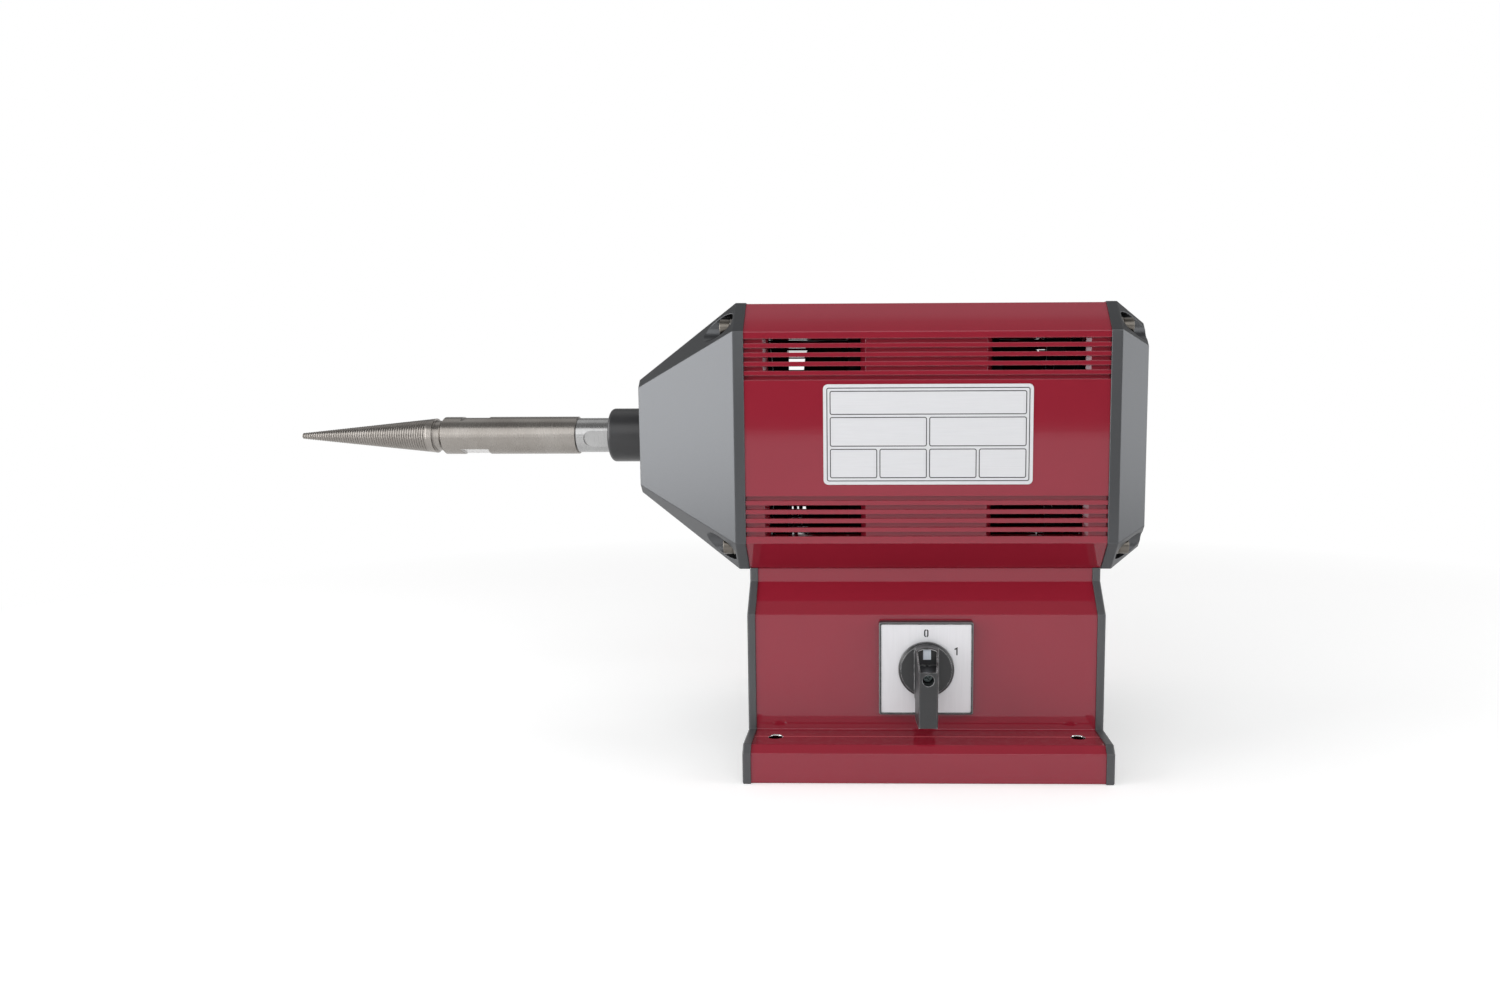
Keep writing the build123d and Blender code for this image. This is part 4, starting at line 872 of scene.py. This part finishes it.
def plate_rules():
    """Empty ruled fields on the rating plate: a border, a header field and rows of fields, all blank."""
    front = plate_low.y
    centre = ((plate_low.x + plate_high.x) / 2, (plate_low.z + plate_high.z) / 2)
    width = plate_high.x - plate_low.x - 2 * plate_margin
    height = plate_high.z - plate_low.z - 2 * plate_margin
    border = rounded_outline(centre, width, height, field_corner)
    lines = [stroke("plate_border", border, True, front, rule_stroke, rule_thickness)]
    inner_width = width - 2 * field_gap
    inner_height = height - 2 * field_gap
    shares = (header_share, *row_shares)
    columns = (1, *column_counts)
    room = inner_height - field_gap * (len(shares) - 1)
    top = centre[1] + inner_height / 2
    for share, count in zip(shares, columns):
        field_height = room * share / sum(shares)
        field_width = (inner_width - field_gap * (count - 1)) / count
        for column in range(count):
            x = centre[0] - inner_width / 2 + field_width / 2 + column * (field_width + field_gap)
            field = rounded_outline((x, top - field_height / 2), field_width, field_height, field_corner)
            lines.append(stroke("plate_field", field, True, front, rule_stroke, rule_thickness))
        top -= field_height + field_gap
    return printed("plate_rules", lines)


# Spring washers

def spring_washers(end):
    """Split washers: a flat section carried round a circle that climbs by a small rise from end to end."""
    low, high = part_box(f"{end}_cap_washers")
    thickness = high.x - low.x
    middle = (washer_outer + washer_inner) / 2
    half = (washer_outer - washer_inner) / 2
    section = thickness - washer_rise
    turn = np.radians(np.linspace(washer_split / 2, 360 - washer_split / 2, washer_steps))
    climb = washer_rise * (turn - turn[0]) / (turn[-1] - turn[0])
    profile = np.array([(-half, 0), (half, 0), (half, section), (-half, section)])
    rings = []
    for y in (low.y + washer_outer, high.y - washer_outer):
        for z in (low.z + washer_outer, high.z - washer_outer):
            path = np.stack([low.x + climb, y + middle * np.cos(turn), z + middle * np.sin(turn)], axis=1)
            across = np.stack([np.zeros(washer_steps), np.cos(turn), np.sin(turn)], axis=1)
            up = np.tile(np.array([1.0, 0.0, 0.0]), (washer_steps, 1))
            rings.append(outward(carried_profile(f"{end}_washer", path, across, up, profile, False)))
    piece = joined(f"{end}_spring_washers", rings)
    coat(piece, spring_steel)
    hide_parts(f"{end}_cap_washers")
    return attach(piece, "machine")


# Base end plate screws

def plate_screw(name, face, inward, centre):
    """Radius over (row, turn): out over the floor of a hexagon socket, half width / cos of the turn from
    the middle of the nearest flat, up its walls, over the flat head, down its cone and along the shank."""
    turn = np.linspace(0, 2 * np.pi, plate_screw_columns, endpoint=False)
    from_flat = (turn + np.pi / 6) % (np.pi / 3) - np.pi / 6
    hexagon = plate_socket_half / np.cos(from_flat)
    even = np.ones(plate_screw_columns)
    rows = [
        (plate_socket_depth, hexagon),
        (plate_screw_edge, hexagon),
        (0, hexagon + plate_screw_edge),
        (0, (plate_screw_head - plate_screw_edge) * even),
        (plate_screw_edge / 2, plate_screw_head * even),
        (plate_screw_head - plate_screw_shank, plate_screw_shank * even),
        (plate_screw_length, plate_screw_shank * even),
    ]
    x = face + inward * np.array([depth for depth, radius in rows])
    radius = np.stack([radius for depth, radius in rows])
    return closed_turning(name, x, radius, screw_sharp_angle, centre)


def base_plate_screws():
    """Four countersunk socket screws in each base end plate."""
    low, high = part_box("base_plate_screws")
    screws = []
    for face, inward in ((low.x, 1), (high.x, -1)):
        for place_y, place_z in plate_screw_places:
            for side in (-1, 1):
                screws.append(plate_screw("plate_screw", face, inward, (side * place_y, place_z)))
    piece = joined("base_plate_socket_screws", screws)
    coat(piece, screw_steel)
    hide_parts("base_plate_screws")
    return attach(piece, "machine")


# Knob screw

def knob_screw():
    """A head face sunk by cross depth inside two crossed bars, |u| or |v| under their half width and both
    under their reach, on a grid of radius and turn; then the head's side, its seat and the shank along Y."""
    low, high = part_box("knob_screw")
    centre = ((low.x + high.x) / 2, (low.z + high.z) / 2)
    turn = np.linspace(0, 2 * np.pi, cross_columns, endpoint=False)
    out = np.linspace(cross_start_share * knob_screw_head, knob_screw_head - knob_screw_edge, cross_rows)
    radius = np.repeat(out[:, None], cross_columns, axis=1)
    across = np.abs(radius * np.cos(turn - math.radians(cross_turn)))
    upward = np.abs(radius * np.sin(turn - math.radians(cross_turn)))
    in_bar = np.clip((cross_half_width - np.minimum(across, upward)) / cross_wall, 0, 1)
    in_reach = np.clip((cross_reach - np.maximum(across, upward)) / cross_wall, 0, 1)
    sunk = cross_depth * in_bar * in_reach
    rest = np.array([
        (knob_screw_edge, knob_screw_head),
        (knob_screw_head_height, knob_screw_head),
        (knob_screw_head_height, knob_screw_shank),
        (high.y - low.y, knob_screw_shank),
    ])
    depth = np.concatenate([sunk, np.repeat(rest[:, :1], cross_columns, axis=1)])
    radius = np.concatenate([radius, np.repeat(rest[:, 1:], cross_columns, axis=1)])
    piece = closed_turning("cross_head_screw", low.y + depth, radius, screw_sharp_angle, centre, axis=1)
    coat(piece, blued_steel)
    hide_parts("knob_screw")
    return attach(piece, "knob")


# Stage

def floor():
    """A wide pale floor that keeps the shadow and fades to plain white far from the machine."""
    corners = floor_half * np.array([(-1, -1, 0), (1, -1, 0), (1, 1, 0), (-1, 1, 0)])
    piece = mesh_piece("floor", corners, [(0, 1, 2, 3)], smooth=False)
    material = bpy.data.materials.new("pale_floor")
    material.use_nodes = True
    w = Wiring(material.node_tree)
    material.node_tree.nodes.remove(material.node_tree.nodes["Principled BSDF"])
    output = material.node_tree.nodes["Material Output"]
    path = w.add("LightPath").outputs
    seen = w.sum("MAXIMUM", path["Is Camera Ray"],
                 w.sum("MAXIMUM", path["Is Glossy Ray"], path["Is Transmission Ray"]))
    far = w.add("VectorMath", {0: w.add("TexCoord").outputs["Object"]}, operation="LENGTH").outputs["Value"]
    away = w.between(far, fade_start, fade_end)
    pale = w.add("BsdfDiffuse", {"Color": (floor_tone, floor_tone, floor_tone, 1)})
    glow = w.add("Emission", {"Color": plain_white, "Strength": w.sum("MULTIPLY", seen, floor_glow)})
    near = w.add("AddShader", {0: pale.outputs[0], 1: glow.outputs[0]})
    white = w.add("Emission", {"Color": plain_white, "Strength": 1.0})
    mixed = w.add("MixShader", {0: w.sum("MULTIPLY", away, seen), 1: near.outputs[0], 2: white.outputs[0]})
    w.join(mixed.outputs[0], output.inputs["Surface"])
    piece.data.materials.append(material)


def surround():
    """Plain studio walls: white to the camera and behind the machine, dim above and dark behind the
    camera."""
    world = bpy.data.worlds.new("studio")
    bpy.context.scene.world = world
    world.use_nodes = True
    w = Wiring(world.node_tree)
    back = world.node_tree.nodes["Background"]
    way = w.add("SeparateXYZ", {"Vector": w.add("TexCoord").outputs["Generated"]}).outputs
    far = w.between(way["Y"], *backdrop_depths)
    behind = w.sum("MULTIPLY", far, w.between(way["Z"], *backdrop_heights))
    ahead = w.between(way["Y"], *front_depths)
    level = w.between(ahead, 0.0, 1.0, start=surround_level, end=behind_camera_level)
    level = w.sum("ADD", level, w.sum("MULTIPLY", behind, backdrop_level - surround_level))
    camera = w.add("LightPath").outputs["Is Camera Ray"]
    w.join(w.sum("MAXIMUM", level, camera), back.inputs["Strength"])
    back.inputs["Color"].default_value = plain_white


def panel(name, place, aim, width, height, level):
    """A soft rectangular lamp whose face has the given brightness."""
    lamp = bpy.data.lights.new(name, "AREA")
    lamp.shape = "RECTANGLE"
    lamp.size = width
    lamp.size_y = height
    lamp.energy = level * math.pi * width * height
    holder = bpy.data.objects.new(name, lamp)
    holder.location = place
    holder.rotation_euler = (Vector(aim) - Vector(place)).to_track_quat("-Z", "Y").to_euler()
    holder.visible_camera = False
    bpy.context.scene.collection.objects.link(holder)


def lights():
    """A wide panel above the camera, a low one beside it, one at each end and one overhead, set back."""
    for name, row in lamp_panels.items():
        panel(name, *row)


def camera():
    """The photograph's view: turned by yaw, pitch and roll, with the lens centre shifted in the frame."""
    lens = bpy.data.cameras.new("view")
    lens.sensor_width = sensor_width
    lens.lens = sensor_width * focal_pixels / image_width
    lens.shift_x = 0.5 - centre_pixel_x / image_width
    lens.shift_y = (centre_pixel_y - image_height / 2) / image_width
    lens.clip_start = lens_near
    holder = bpy.data.objects.new("view", lens)
    turn = (Matrix.Rotation(math.radians(camera_yaw), 4, "Z")
            @ Matrix.Rotation(math.radians(90 - camera_pitch), 4, "X")
            @ Matrix.Rotation(math.radians(camera_roll), 4, "Z"))
    holder.matrix_world = Matrix.Translation(camera_place) @ turn
    bpy.context.scene.collection.objects.link(holder)
    bpy.context.scene.camera = holder


coat_nodes()
taper_spindle()
switch_marks()
plate_rules()
spring_washers("drive")
spring_washers("rear")
base_plate_screws()
knob_screw()
floor()
surround()
lights()
camera()
bpy.context.scene.view_settings.view_transform = "Standard"
